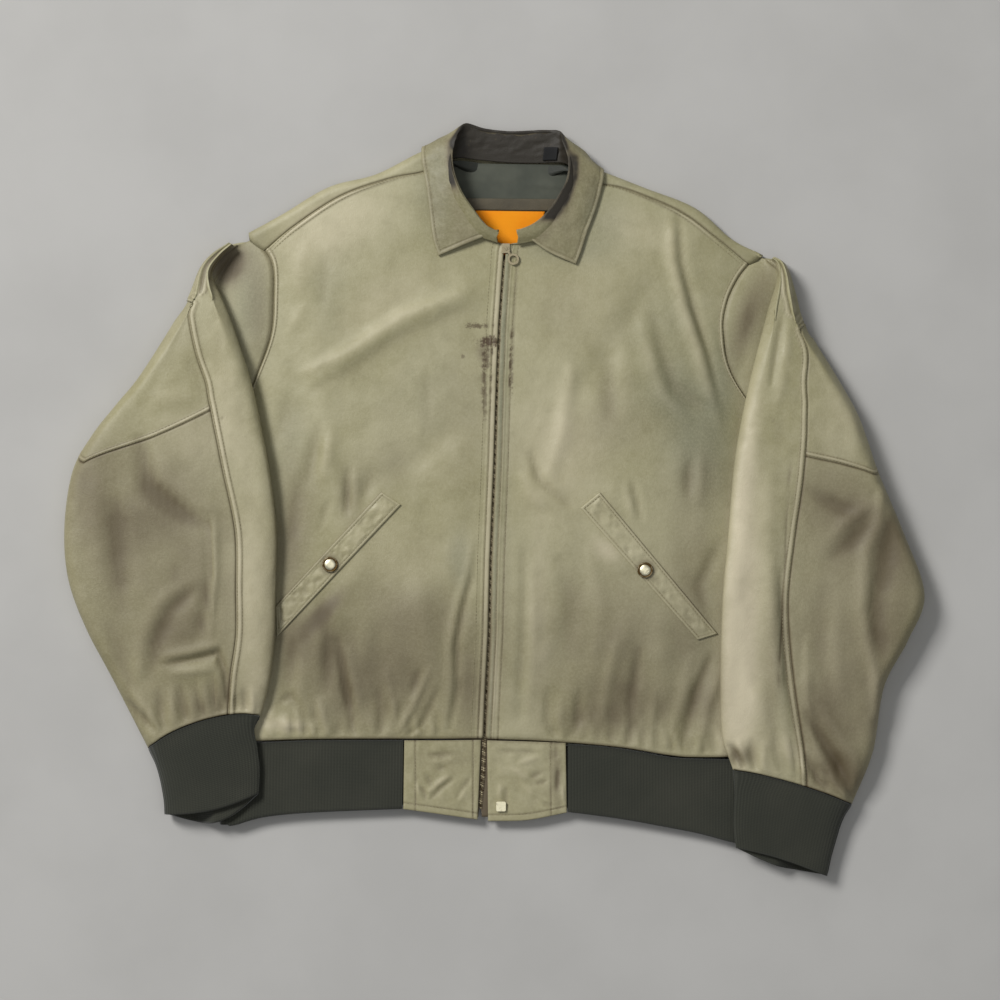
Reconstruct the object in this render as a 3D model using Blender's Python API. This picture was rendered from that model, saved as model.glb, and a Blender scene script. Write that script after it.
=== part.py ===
"""A worn leather bomber jacket, laid flat on its back.

Plan places are read on the garment in steps of PX (0.95 mm), x to the right and y down,
and heights above the floor are in millimetres. place() turns both into metres, with the
origin under the middle of the garment. Sides are the wearer's: right is at -X.
Every piece of cloth is a wall made from a grid of points on its outer face.
"""
import bmesh
import bpy
import numpy as np
from mathutils import Matrix

# Driving dimensions
PX = 0.00095          # one plan step on the garment
MIDDLE = (494.1, 500.0)   # plan place of the origin
MM = 0.001
LEATHER = 1.4 * MM
DOUBLED = 2.4 * MM    # two layers of leather, as in collar and tabs
KNIT = 3.0 * MM       # doubled rib knit
LINING = 1.0 * MM
TAPE = 1.0 * MM
SEAM = 0.2 * MM       # each piece stops this far short of its seam
LAID_ON = 0.35        # mm between a piece and the panel it lies on
BODY_PUFF = 20.0      # mm that the fronts stand above their side seams
SIDE_EDGE = 3.1       # mm, outer face of the fronts at the side seams
WAIST_TOP = 12.5      # mm, outer face of the fronts at the waist seam
NECK_LIFT = 3.2       # mm that the back is raised by the collar folded under it
SNAP_RADIUS = 7.5 * MM
SNAP_HEIGHT = 2.2 * MM
SLIDER_LENGTH = 9.0 * MM
SLIDER_WIDTH = 7.5 * MM
PULL_RING = 5.4 * MM  # outer radius of the ring on the zip's pull


def place(x, y, z_mm):
    """Points in metres from plan places and heights."""
    x, y, z = np.broadcast_arrays(x, y, z_mm)
    return np.stack([(x - MIDDLE[0]) * PX, (MIDDLE[1] - y) * PX, z * MM], axis=-1)


def smooth(points, s):
    """Curve through points, read at s, which counts the points from 0."""
    pts = np.asarray(points, float)
    s = np.clip(np.asarray(s, float), 0, len(pts) - 1)
    i = np.minimum(s.astype(int), len(pts) - 2)
    t = (s - i).reshape(s.shape + (1,) * (pts.ndim - 1))
    pad = np.concatenate([[2 * pts[0] - pts[1]], pts, [2 * pts[-1] - pts[-2]]])
    a, b, c, d = pad[i], pad[i + 1], pad[i + 2], pad[i + 3]
    return 0.5 * (2 * b + (c - a) * t + (2 * a - 5 * b + 4 * c - d) * t**2
                  + (3 * b - a - 3 * c + d) * t**3)


def even(points, count):
    """count points evenly spaced along the curve through points."""
    dense = smooth(points, np.linspace(0, len(points) - 1, 40 * len(points)))
    length = np.append(0, np.cumsum(np.linalg.norm(np.diff(dense, axis=0), axis=1)))
    want = np.linspace(0, length[-1], count)
    return np.stack([np.interp(want, length, dense[:, k]) for k in range(dense.shape[1])], axis=-1)


def step(t):
    """0 below 0, 1 above 1, with a soft rise between."""
    t = np.clip(t, 0, 1)
    return t * t * (3 - 2 * t)


def coons(bottom, top, left, right):
    """Grid of plan places inside four edge curves; rows run from bottom to top."""
    u = np.linspace(0, 1, len(bottom))[None, :, None]
    v = np.linspace(0, 1, len(left))[:, None, None]
    corners = ((1 - v) * ((1 - u) * bottom[0] + u * bottom[-1])
               + v * ((1 - u) * top[0] + u * top[-1]))
    return ((1 - v) * bottom[None] + v * top[None]
            + (1 - u) * left[:, None] + u * right[:, None] - corners)


# Plan of the body, seen from the front

SIDE_RIGHT = [(238, 410), (232, 500), (226, 600), (223, 700), (224, 743), (220, 790), (219, 828)]
SIDE_LEFT = [(757, 410), (762, 500), (766, 600), (768, 700), (768, 757), (769, 800), (769, 850)]
SHOULDER_SEAM_RIGHT = [(294, 225), (341, 195), (390, 178), (417, 173), (445, 167)]
SHOULDER_SEAM_LEFT = [(578, 179), (604, 184), (631, 190), (681, 211), (717, 237)]
SHOULDER_TOP_RIGHT = [(243, 234), (280, 214), (328, 186), (376, 173), (424, 150), (440, 156)]
SHOULDER_TOP_LEFT = [(583, 166), (604, 171), (646, 187), (696, 207), (733, 238), (763, 253)]
NECK_BACK = [(445, 167), (452, 161), (463, 160), (481, 161.5), (509, 164), (545, 164.5),
             (562, 165), (572, 171), (578, 179)]
NECK_BACK_FLAT = [(440, 156), (450, 158), (463, 159), (481, 160.5), (509, 163), (545, 163.5),
                  (562, 162), (574, 163), (583, 166)]
NECK_FRONT_RIGHT = [(445, 167), (443, 185), (448, 203), (459, 221), (474, 236), (495, 243)]
NECK_FRONT_LEFT = [(578, 179), (580, 192), (574, 208), (563, 223), (544, 238), (519, 244)]
WAIST_RIGHT = [(224, 743), (299, 740), (380, 739.5), (440, 739.5), (482, 739)]
WAIST_LEFT = [(488, 739.5), (550, 742), (620, 748), (670, 756), (700, 758), (768, 757)]
ZIP = [(507, 243), (504.8, 253), (502, 290), (499.7, 324), (497.4, 382), (495, 462),
       (491, 560), (489.4, 634), (486, 703), (484.5, 739), (483, 776), (480, 808)]


HEM = [(224, 743), (496, 740), (692, 757), (768, 757)]


def hem_y(x):
    """Lower edge of the back panel at x."""
    line = np.array(HEM)
    return np.interp(x, line[:, 0], line[:, 1])


def zip_x(y):
    """Middle of the zip at y."""
    line = np.array(ZIP)
    return np.interp(y, line[:, 1], line[:, 0])


def side_x(line, y):
    """Side seam at y, going straight on above the underarm."""
    line = np.array(line)
    return np.interp(y, line[:, 1], line[:, 0])


def shoulder_y(x):
    """Top of the shoulders at x."""
    line = np.array(SHOULDER_TOP_RIGHT[:5] + SHOULDER_TOP_LEFT[1:])
    return np.interp(x, line[:, 0], line[:, 1])


# Soft folds of the fronts: start, end, half width in plan steps, height in mm
FOLDS = [
    ((455, 300), (330, 372), 16, 3.6), ((440, 440), (350, 520), 14, -2.6),
    ((350, 560), (300, 700), 15, 3.0), ((420, 600), (440, 725), 14, 3.2),
    ((380, 640), (372, 730), 11, -2.6), ((300, 330), (330, 470), 14, 2.6),
    ((682, 240), (702, 350), 13, 3.4), ((702, 350), (738, 450), 12, 2.8),
    ((640, 300), (590, 380), 15, -2.2), ((535, 480), (600, 530), 15, 3.0),
    ((690, 520), (690, 650), 14, -2.8), ((620, 640), (600, 740), 13, 3.0),
    ((560, 640), (550, 735), 12, -2.4), ((660, 660), (676, 745), 11, 2.6),
]


def folds(x, y, creases):
    """Sum of soft ridges and troughs, each along its own line."""
    total = np.zeros(np.broadcast(x, y).shape)
    for (x0, y0), (x1, y1), width, height in creases:
        length = np.hypot(x1 - x0, y1 - y0)
        along = ((x - x0) * (x1 - x0) + (y - y0) * (y1 - y0)) / length
        across = ((x - x0) * (y1 - y0) - (y - y0) * (x1 - x0)) / length
        beyond = np.maximum(np.maximum(-along, along - length), 0)
        total = total + height * np.exp(-(across / width) ** 2 - (beyond / (1.6 * width)) ** 2)
    return total


WELT_LINES = [((391, 498), (276, 621)), ((590, 500), (708, 637))]


def away_from_welts(x, y):
    """0 on the stiff pocket welts, 1 away from them."""
    near = np.full(np.broadcast(x, y).shape, 1e3)
    for (x0, y0), (x1, y1) in WELT_LINES:
        t = np.clip(((x - x0) * (x1 - x0) + (y - y0) * (y1 - y0))
                    / ((x1 - x0) ** 2 + (y1 - y0) ** 2), 0, 1)
        near = np.minimum(near, np.hypot(x - x0 - t * (x1 - x0), y - y0 - t * (y1 - y0)))
    return step((near - 14) / 26)


def body_top(x, y):
    """Height in mm of the fronts' outer face."""
    inside = np.minimum(x - side_x(SIDE_RIGHT, y), side_x(SIDE_LEFT, y) - x)
    inside = np.maximum(inside, 0)
    z = SIDE_EDGE + BODY_PUFF * (1 - np.exp(-inside / 45))
    below_shoulder = np.maximum(y - shoulder_y(x), 0)
    z = z * (1 - 0.24 * np.exp(-below_shoulder / 55))
    quiet = step((inside - 55) / 50) * step((y - 215) / 60) * step((742 - y) / 30)
    quiet = quiet * step(np.abs(x - zip_x(y)) / 28 - 0.3)
    z = z + quiet * away_from_welts(x, y) * folds(x, y, FOLDS)
    waist = step((y - 610) / 132)
    edge = np.minimum(z, WAIST_TOP)
    return z * (1 - waist) + edge * waist


def under_neck(x, y):
    """Lift in mm of the back over the collar's fall, which is folded under it."""
    return NECK_LIFT * step((x - 385) / 32) * step((625 - x) / 32) * step((236 - y) / 38)


# Building the solids

def leather(name, colour, roughness=0.55, metallic=0.0):
    """A plain material; most of the pieces are leather."""
    mat = bpy.data.materials.new(name)
    mat.use_nodes = True
    shader = mat.node_tree.nodes["Principled BSDF"]
    shader.inputs["Base Color"].default_value = (*colour, 1)
    shader.inputs["Roughness"].default_value = roughness
    shader.inputs["Metallic"].default_value = metallic
    return mat


OLIVE = (0.33, 0.30, 0.18)
KNIT_COLOUR = (0.032, 0.034, 0.024)
BRASS = (0.62, 0.55, 0.38)


def add_object(name, verts, faces, mat):
    mesh = bpy.data.meshes.new(name)
    mesh.from_pydata([tuple(p) for p in verts], [], faces)
    mesh.materials.append(mat)
    mesh.validate()
    mesh.update()
    obj = bpy.data.objects.new(name, mesh)
    bpy.context.scene.collection.objects.link(obj)
    return obj


def pull_back(grid, edges, gap=SEAM):
    """Move the grid's edge points gap inwards; edges names rows or columns to move."""
    grid = grid.copy()
    ends = {"first_row": (0, 1, 0), "last_row": (-1, -2, 0),
            "first_col": (0, 1, 1), "last_col": (-1, -2, 1)}
    for edge in edges:
        at, inner, axis = ends[edge]
        rows = grid if axis == 0 else grid.swapaxes(0, 1)
        toward = rows[inner] - rows[at]
        length = np.linalg.norm(toward, axis=-1, keepdims=True)
        rows[at] += toward / length * np.minimum(gap, 0.45 * length)
    return grid


ALL_EDGES = ("first_row", "last_row", "first_col", "last_col")


def normals(grid, closed=False):
    """Unit normals of a grid: column step crossed with row step."""
    if closed:
        along = np.roll(grid, -1, axis=1) - np.roll(grid, 1, axis=1)
    else:
        along = np.gradient(grid, axis=1)
    cross = np.cross(along, np.gradient(grid, axis=0))
    return cross / np.linalg.norm(cross, axis=-1, keepdims=True)


def wall(name, outer, thickness, mat, closed=False, inner=None):
    """A closed solid between the outer grid and one thickness behind it."""
    rows, cols = outer.shape[:2]
    if inner is None:
        inner = outer - normals(outer, closed) * thickness
    verts = np.concatenate([outer.reshape(-1, 3), inner.reshape(-1, 3)])
    size = rows * cols
    faces = []
    last = cols if closed else cols - 1
    for i in range(rows - 1):
        for j in range(last):
            k = (j + 1) % cols
            a, b, c, d = i * cols + j, i * cols + k, (i + 1) * cols + k, (i + 1) * cols + j
            faces.append((a, b, c, d))
            faces.append((size + d, size + c, size + b, size + a))
    for j in range(last):
        k = (j + 1) % cols
        top = (rows - 1) * cols
        faces.append((k, j, size + j, size + k))
        faces.append((top + j, top + k, size + top + k, size + top + j))
    if not closed:
        for i in range(rows - 1):
            a, b = i * cols, (i + 1) * cols
            faces.append((a, b, size + b, size + a))
            faces.append((b + cols - 1, a + cols - 1, size + a + cols - 1, size + b + cols - 1))
    return add_object(name, verts, faces, mat)


# Back: flat on the floor, its shoulders coming over the ridge to the seams in front

SHOULDER_COLS = 7
NECK_COLS = 9
SIDE_ROWS = 9
RIDGE_ROWS = 6
ARMHOLE_STATIONS = [6.0, 5.3, 4.6, 3.9, 3.2, 2.5, 1.8, 1.15]
HEAD_STATION = 0.6   # sleeve station at which the shoulder leaves the floor


def seam_place(side, s, line=0):
    """Plan place of the armhole at sleeve station s: line 0 in front, 4 at the back."""
    return smooth([row[line] for row in STATIONS[side]], s)


def shoulder_seam(side):
    """Shoulder seam from the armhole to the neck."""
    end = tuple(seam_place(side, np.array(ARMHOLE_STATIONS[-1])))
    if side == "right":
        return even([end] + SHOULDER_SEAM_RIGHT, SHOULDER_COLS)
    return even(SHOULDER_SEAM_LEFT + [end], SHOULDER_COLS)


def side_and_armhole(side, line, stations):
    """Outer edge of a body panel, from the waist up to the shoulder."""
    seam = SIDE_RIGHT[:5] if side == "right" else SIDE_LEFT[:5]
    low = even(seam, SIDE_ROWS + 1)[:0:-1]
    return np.concatenate([low, seam_place(side, np.array(stations), line)])


def build_back(mat):
    ridge = np.concatenate([even(SHOULDER_TOP_RIGHT, SHOULDER_COLS)[:-1],
                            even(NECK_BACK_FLAT, NECK_COLS),
                            even(SHOULDER_TOP_LEFT, SHOULDER_COLS)[1:]])
    seam = np.concatenate([shoulder_seam("right")[:-1], even(NECK_BACK, NECK_COLS),
                           shoulder_seam("left")[1:]])
    cols = len(ridge)
    index = np.arange(cols)
    neck_start = SHOULDER_COLS - 1
    neck_end = neck_start + NECK_COLS - 1
    over = np.maximum(step((neck_start + 2 - index) / 2), step((index - neck_end + 2) / 2))
    over = over[:, None]
    toward = seam - ridge
    reach = np.linalg.norm(toward, axis=1, keepdims=True)
    inwards = toward / reach * np.minimum(reach * 0.85, 9.5)
    start = (ridge + inwards) * over + (ridge + np.array([0, 22.0])) * (1 - over)
    stations = ARMHOLE_STATIONS + [HEAD_STATION]
    left = side_and_armhole("right", 4, stations)
    right = side_and_armhole("left", 4, stations)
    start[0], start[-1] = left[-1], right[-1]
    hem_x = np.linspace(left[0, 0], right[0, 0], cols)
    hem = np.stack([hem_x, hem_y(hem_x)], axis=-1)
    floor = coons(hem, start, left, right)
    grid = [place(floor[..., 0], floor[..., 1], under_neck(floor[..., 0], floor[..., 1]))]
    top_z = body_top(seam[:, 0], seam[:, 1])
    for turn in np.linspace(0, 1, RIDGE_ROWS + 1)[1:]:
        angle = np.pi * min(turn / 0.8, 1)
        plan_over = start - inwards * np.sin(angle) + (seam - start) * max(5 * turn - 4, 0)
        lift = under_neck(plan_over[:, 0], plan_over[:, 1])
        z_over = lift + (top_z - lift) * (1 - np.cos(angle)) / 2
        plan_flat = start + (seam - start) * turn
        z_flat = under_neck(plan_flat[:, 0], plan_flat[:, 1])
        plan = plan_over * over + plan_flat * (1 - over)
        z = z_over * over[:, 0] + z_flat * (1 - over[:, 0])
        plan[0] += (1.1, -1.4)
        plan[-1] += (-1.1, -1.4)
        grid.append(place(plan[:, 0], plan[:, 1], z)[None])
    outer = np.concatenate(grid)[:, ::-1]
    return wall("back", pull_back(outer, ALL_EDGES), LEATHER, mat)


# Fronts

def build_front(side, mat):
    outer_edge = side_and_armhole(side, 0, ARMHOLE_STATIONS)
    y = np.linspace(739, 244, len(outer_edge))
    if side == "right":
        top = np.concatenate([shoulder_seam(side)[:-1], even(NECK_FRONT_RIGHT, 7)])
        edge = np.stack([zip_x(y) - 2.0, y], axis=-1)
        edge[-1] = top[-1]
        bottom = even(WAIST_RIGHT, len(top))
        bottom[0], bottom[-1] = outer_edge[0], edge[0]
        plan = coons(bottom, top, outer_edge, edge)
    else:
        top = np.concatenate([even(NECK_FRONT_LEFT[::-1], 7)[:-1], shoulder_seam(side)])
        edge = np.stack([zip_x(y) + 1.6, y], axis=-1)
        edge[-1] = top[0]
        bottom = even(WAIST_LEFT, len(top))
        bottom[0], bottom[-1] = edge[0], outer_edge[0]
        plan = coons(bottom, top, edge, outer_edge)
    outer = place(plan[..., 0], plan[..., 1], body_top(plan[..., 0], plan[..., 1]))
    outer = pull_back(outer, ALL_EDGES)
    wall("front_" + side, outer, LEATHER, mat)
    return outer


# Sleeves. Each station is a section across the sleeve: places of the front seam, the
# hidden pleat, the inner fold, the outer fold and the back seam, the long seam's share
# of the way from inner to outer fold, and the height of the sleeve in mm.

STATIONS_RIGHT = [
    ((246, 236), (240, 239), (237, 241), (233, 239), (246, 236.5), 1.00, 18),
    ((262, 248), (226, 260), (221, 257), (213, 251), (262, 252), 1.00, 21),
    ((272, 266), (214, 280), (212, 274), (199, 267), (275, 272), 1.00, 25),
    ((273, 300), (203, 306), (221, 296), (187, 297), (276, 306), 0.98, 29),
    ((270, 336), (206, 340), (233, 326), (170, 327), (270, 345), 0.66, 32),
    ((256, 374), (216, 374), (248, 370), (138, 377), (257, 382), 0.41, 34),
    ((238.5, 409), (228, 401), (256, 400), (115, 405), (236.5, 410), 0.33, 35),
    ((212, 428), (236, 432), (263, 434), (91, 436), (208.5, 425.5), 0.27, 36),
    ((207, 470), (240, 471), (270, 471), (72, 472), (207, 470), 0.23, 36),
    ((212, 530), (247, 530), (277, 530), (64, 528), (212, 530), 0.19, 35),
    ((213, 590), (246, 590), (276, 590), (68, 580), (213, 590), 0.185, 34),
    ((213, 642), (245, 640), (275, 640), (86, 630), (213, 642), 0.20, 32),
    ((215, 695), (242, 686), (269, 685), (113, 682), (215, 695), 0.245, 29),
    ((219, 731), (240, 724), (260, 716.5), (147, 749), (219, 731), 0.285, 24),
]
STATIONS_LEFT = [
    ((765, 254), (769, 256), (770, 257), (772, 256), (765, 254.5), 1.00, 18),
    ((752, 262), (778, 271), (777, 266), (783, 260), (752, 265), 1.00, 21),
    ((739, 278), (786, 292), (776, 284), (790, 270), (738, 284), 1.00, 25),
    ((728, 302), (786, 310), (769, 306), (797, 294), (729, 312), 0.99, 29),
    ((724, 330), (786, 336), (763, 328), (806, 324), (729, 346), 0.955, 32),
    ((731, 370), (779, 374), (752, 370), (836, 374), (739, 380), 0.64, 34),
    ((756, 408.5), (768, 405), (744.5, 403), (857, 411), (758.5, 409), 0.55, 35),
    ((785, 434), (762, 436), (738, 436), (868, 440), (788, 431), 0.52, 36),
    ((788, 475), (760, 475), (732.5, 475), (880, 475), (788, 475), 0.475, 36),
    ((785, 530), (757, 530), (728, 530), (903, 530), (785, 530), 0.385, 35),
    ((783, 590), (755, 590), (722.5, 590), (925, 594), (783, 590), 0.325, 34),
    ((780, 640), (752, 640), (720.5, 640), (909, 640), (780, 640), 0.365, 32),
    ((777, 690), (750, 690), (720, 690), (885, 687), (777, 690), 0.45, 30),
    ((775, 745), (750, 742), (722, 735), (874, 752), (775, 745), 0.53, 27),
    ((774, 783), (753, 778), (733, 770), (853, 805), (774, 783), 0.61, 24),
]
STATIONS = {"right": STATIONS_RIGHT, "left": STATIONS_LEFT}
UNDERARM = 6      # number of the station at the underarm
INNER_ROLL = 8.0  # plan steps over which the inner fold turns
OUTER_ROLL = 9.0
CLEAR = 1.5       # mm between sleeve and body where the sleeve lies on it

# Where the upper face of a sleeve's section begins and ends
TOP_FROM, TOP_TO = 0.48, 0.76


def sleeve_base(x, y):
    """Height in mm of what the sleeve lies on: the floor, or the body's side."""
    inside = np.minimum(x - side_x(SIDE_RIGHT, y), side_x(SIDE_LEFT, y) - x)
    body = body_top(x, y)
    body = body + (WAIST_TOP + 1.0 - body) * step((y - 715) / 22)
    return (body + CLEAR) * step((inside + 32) / 25)


def section(side, s):
    """Control points (17, 3) in plan steps and mm of the sleeve's section at station s."""
    table = STATIONS[side]
    lines = [smooth([row[k] for row in table], s) for k in range(5)]
    seam, pleat, inner, outer, back = lines
    height = smooth([[row[6]] for row in table], s)[0]
    tube = step(s - UNDERARM + 0.2)
    head = 1 - step((s - 1.2) / 2.4)

    def unit(v):
        return v / max(np.hypot(*v), 1e-6)

    def at(plan, z):
        return np.array([plan[0], plan[1], z])

    across = unit(outer - inner)
    inner_roll = min(INNER_ROLL, 0.3 * np.hypot(*(outer - inner)))
    outer_roll = min(OUTER_ROLL, 0.3 * np.hypot(*(outer - inner)))
    seam_z = float(body_top(*seam)) * (1 - tube) + float(sleeve_base(*seam)) * tube
    base = float(sleeve_base(*inner))
    base_open = 0.36 * height
    low = base * tube + base_open * (1 - tube)
    mid = low + 0.5 * (height - low)
    pleat_z = (9.5 - 2.5 * head) * (1 - tube) + float(sleeve_base(*pleat)) * tube
    turn = 3.0 * (1 - tube) * (1 - 0.7 * head)
    down = unit(seam - pleat) * min(3.5, 0.3 * np.hypot(*(seam - pleat)))
    onward = unit(inner - pleat) * min(3.5, 0.3 * np.hypot(*(inner - pleat)))
    between_low = 0.5 * (seam + pleat)
    between_mid = 0.5 * (pleat + inner)
    between_z = ((0.5 * (seam_z + pleat_z) - 1.0) * (1 - tube)
                 + float(sleeve_base(*between_low)) * tube)
    middle_z = ((0.5 * (pleat_z + turn + low) + 0.5) * (1 - tube)
                + float(sleeve_base(*between_mid)) * tube)
    top = [inner + (outer - inner) * f for f in (0.25, 0.5, 0.75)]
    outer_z = 0.42 * height
    return np.array([
        at(seam, seam_z),
        at(between_low, between_z),
        at(pleat + down, pleat_z - turn),
        at(pleat, pleat_z),
        at(pleat + onward, pleat_z + turn),
        at(between_mid, middle_z),
        at(inner + across * inner_roll, low + 0.3 * (mid - low) * (1 - tube)),
        at(inner, mid),
        at(inner + across * inner_roll, height - 0.12 * (height - mid)),
        at(top[0], height),
        at(top[1], height),
        at(top[2], height * 0.97),
        at(outer - across * outer_roll, outer_z + 0.84 * (height - outer_z)),
        at(outer, outer_z),
        at(outer - across * outer_roll, 0.0),
        at(0.5 * (outer + back), 0.0),
        at(back, float(sleeve_base(*back)) * tube),
    ])


SECTION_KNOTS = np.array([0, 0.10, 0.18, 0.22, 0.26, 0.33, 0.40, 0.44, 0.48, 0.55, 0.62, 0.69,
                          0.76, 0.80, 0.84, 0.92, 1.0])
TABLE_STEP = 0.05
section_tables = {}


def section_table(side):
    """Sections at close stations, with one more point past each end."""
    if side not in section_tables:
        last = len(STATIONS[side]) - 1
        rows = np.array([section(side, s) for s in np.arange(0, last + TABLE_STEP, TABLE_STEP)])
        first, end = 2 * rows[:, :1] - rows[:, 1:2], 2 * rows[:, -1:] - rows[:, -2:-1]
        section_tables[side] = np.concatenate([first, rows, end], axis=1)
    return section_tables[side]


def sleeve_surface(side, w, s):
    """Points in metres on the sleeve's outer face, w round the section at station s."""
    table = section_table(side)
    w, s = np.broadcast_arrays(np.asarray(w, float), np.asarray(s, float))
    row = np.clip(s / TABLE_STEP, 0, len(table) - 1.001)
    i = row.astype(int)
    f = (row - i)[..., None]
    count = np.interp(w, SECTION_KNOTS, np.arange(len(SECTION_KNOTS)))
    k = np.minimum(count.astype(int), len(SECTION_KNOTS) - 2)
    t = (count - k)[..., None]
    a, b, c, d = (table[i, k + n] * (1 - f) + table[i + 1, k + n] * f for n in range(4))
    point = 0.5 * (2 * b + (c - a) * t + (2 * a - 5 * b + 4 * c - d) * t**2
                   + (3 * b - a - 3 * c + d) * t**3)
    last = len(STATIONS[side]) - 1
    bow = 13 * step((s - last + 2.5) / 2.5) if side == "right" else 5 * step(s - last + 1.5)
    share = np.where(w < 0.8, (w - 0.44) / 0.36, (1.0 - w) / 0.2)
    y = point[..., 1] - bow * np.sin(np.pi * np.clip(share, 0, 1))
    return place(point[..., 0], y, np.maximum(point[..., 2], 0.0))


def sleeve_normals(side, w, s):
    """Unit normals of the sleeve's outer face."""
    dw, ds = 0.004, 0.04
    across = sleeve_surface(side, w + dw, s) - sleeve_surface(side, w - dw, s)
    along = sleeve_surface(side, w, s + ds) - sleeve_surface(side, w, s - ds)
    cross = np.cross(across, along) * (1 if side == "right" else -1)
    return cross / np.linalg.norm(cross, axis=-1, keepdims=True)


def long_seam(side, s):
    """Place round the section of the seam between the sleeve's front and back panels."""
    share = np.minimum(smooth([row[5] for row in STATIONS[side]], s), 1.0)
    hidden = step((share - 0.9) / 0.1)
    return TOP_FROM + share * (TOP_TO - TOP_FROM) + 0.09 * hidden


def sleeve_wall(name, side, w, s, mat, hem_gap=0.0):
    """Panel of a sleeve on a grid of w and s; its inner face is mitred at the seams."""
    outer = pull_back(sleeve_surface(side, w, s), ALL_EDGES)
    outer = pull_back(outer, ["first_col", "last_col"], gap=LONG_SEAM_GAP)
    outer = pull_back(outer, ["last_col"], gap=hem_gap)
    inner = outer - sleeve_normals(side, w, s) * LEATHER
    inner = pull_back(inner, ALL_EDGES, gap=MITRE)
    inner[..., 2] = np.maximum(inner[..., 2], LEAST_INNER)
    if side == "left":
        outer, inner = outer[:, ::-1], inner[:, ::-1]
    return wall(name, outer, LEATHER, mat, inner=inner)


LONG_SEAM_GAP = 0.35 * MM    # more room beside the seams along the sleeve
UNDER_SEAM_GAP = 0.3 * MM    # and again beside the seam underneath
MITRE = 1.1 * MM             # inner faces stop this far short of the outer ones
LEAST_INNER = 0.3 * MM       # lowest place of an inner face
HEAD_ROWS = [0.25, HEAD_STATION] + ARMHOLE_STATIONS[::-1]
ELBOW = {"right": [(0.0, 6.3), (0.2, 7.1), (0.43, 7.8), (1.0, 6.3)],
         "left": [(0.0, 7.55), (0.2, 7.75), (0.43, 8.0), (1.0, 7.55)]}
ROWS_ABOVE = {"right": HEAD_ROWS + [6.3], "left": HEAD_ROWS + [6.8, 7.55]}
LOWER_ROWS = 9
FRONT_SLEEVE_W = [0, 0.05, 0.10, 0.155, 0.19, 0.22, 0.25, 0.29, 0.34, 0.39, 0.415, 0.44, 0.46]


def rows_below(side):
    return list(np.linspace(ELBOW[side][0][1], len(STATIONS[side]) - 1, LOWER_ROWS))


def build_sleeve_front(side, mat):
    s = np.array(ROWS_ABOVE[side] + rows_below(side)[1:])
    shares = np.array([0, 0.25, 0.5, 0.72, 0.88, 1.0])
    w = np.array([FRONT_SLEEVE_W + list(0.48 + (end - 0.48) * shares) for end in long_seam(side, s)])
    s = np.repeat(s[:, None], w.shape[1], axis=1)
    return sleeve_wall("sleeve_front_" + side, side, w, s, mat)


def back_w(begin):
    """Places round a back panel: from the long seam to the outer fold, then underneath."""
    fold = np.maximum(0.80, begin + 0.02)
    top = begin + (fold - begin) * np.linspace(0, 1, 7)
    under = fold + (1 - fold) * np.array([0.1, 0.2, 0.35, 0.5, 0.65, 0.82, 1.0])
    return np.concatenate([top, under], axis=1)


def build_sleeve_back(side, part, mat):
    share = np.linspace(0, 1, 14)
    line = np.array(ELBOW[side])
    elbow = np.interp(share, line[:, 0], line[:, 1])
    start, last = line[0, 1], len(STATIONS[side]) - 1
    if part == "upper":
        rows = np.array(ROWS_ABOVE[side])
        first = rows[0]
        s = first + (rows[:, None] - first) / (start - first) * (elbow - first)
    else:
        rows = np.array(rows_below(side))
        s = last + (rows[:, None] - last) / (start - last) * (elbow - last)
    w = back_w(long_seam(side, s[:, :1]))
    return sleeve_wall(f"sleeve_back_{part}_{side}", side, w, s, mat, UNDER_SEAM_GAP)


# Cuffs: inner and outer fold lines from the sleeve to the open end, on top and below

CUFFS = {
    "right": {"inner": [(260, 718), (254, 730), (257.5, 748), (259, 770), (258.5, 794)],
              "outer": [(147, 751), (155, 767), (160, 784), (162.5, 800), (163.5, 815)],
              "bow": -12.0, "end_bow": 6.0, "under_more": 13.0, "heights": (25, 24, 23.5, 23, 22.5)},
    "left": {"inner": [(733, 771.5), (735, 790), (734, 810), (734, 830), (736, 848)],
             "outer": [(853, 806.5), (844, 820), (838, 838), (833, 856), (828, 877)],
             "bow": -4.0, "end_bow": -3.0, "under_more": 8.0, "heights": (25, 24, 23.5, 23, 22.5)},
}


def cuff_shape(side, around, v, inset=0.0):
    """Points on the cuff, around from the inner fold over the top, inset metres inside it."""
    cuff = CUFFS[side]
    inner, outer = (smooth(cuff[key], v * 4) for key in ("inner", "outer"))
    height = smooth(list(cuff["heights"]), v * 4) - inset / MM
    angle = 2 * np.pi * around
    over = np.sin(angle) >= 0
    share = 0.5 - 0.5 * np.cos(angle)
    rise = np.sqrt(1 - np.abs(np.cos(angle)) ** np.where(over, 4, 8))
    along = (outer - inner) / np.linalg.norm(outer - inner, axis=-1, keepdims=True)
    inner, outer = inner + along * inset / PX, outer - along * inset / PX
    plan = inner + (outer - inner) * share[..., None]
    base = sleeve_base(plan[..., 0], plan[..., 1]) + inset / MM
    mid = 0.5 * (height + base)
    sign = 1 if side == "left" else -1
    down = np.stack([-along[..., 1], along[..., 0]], axis=-1) * sign
    bow = cuff["bow"] * (1 - v) + cuff["end_bow"] * v + np.where(over, 0, cuff["under_more"] * v)
    plan = plan + down * (bow * np.sin(np.pi * share))[..., None]
    z = np.where(over, mid + (height - mid) * rise, mid - (mid - base) * rise)
    return place(plan[..., 0], plan[..., 1], z)


CUFF_COLS = 26
CUFF_ROWS = 6


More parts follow.
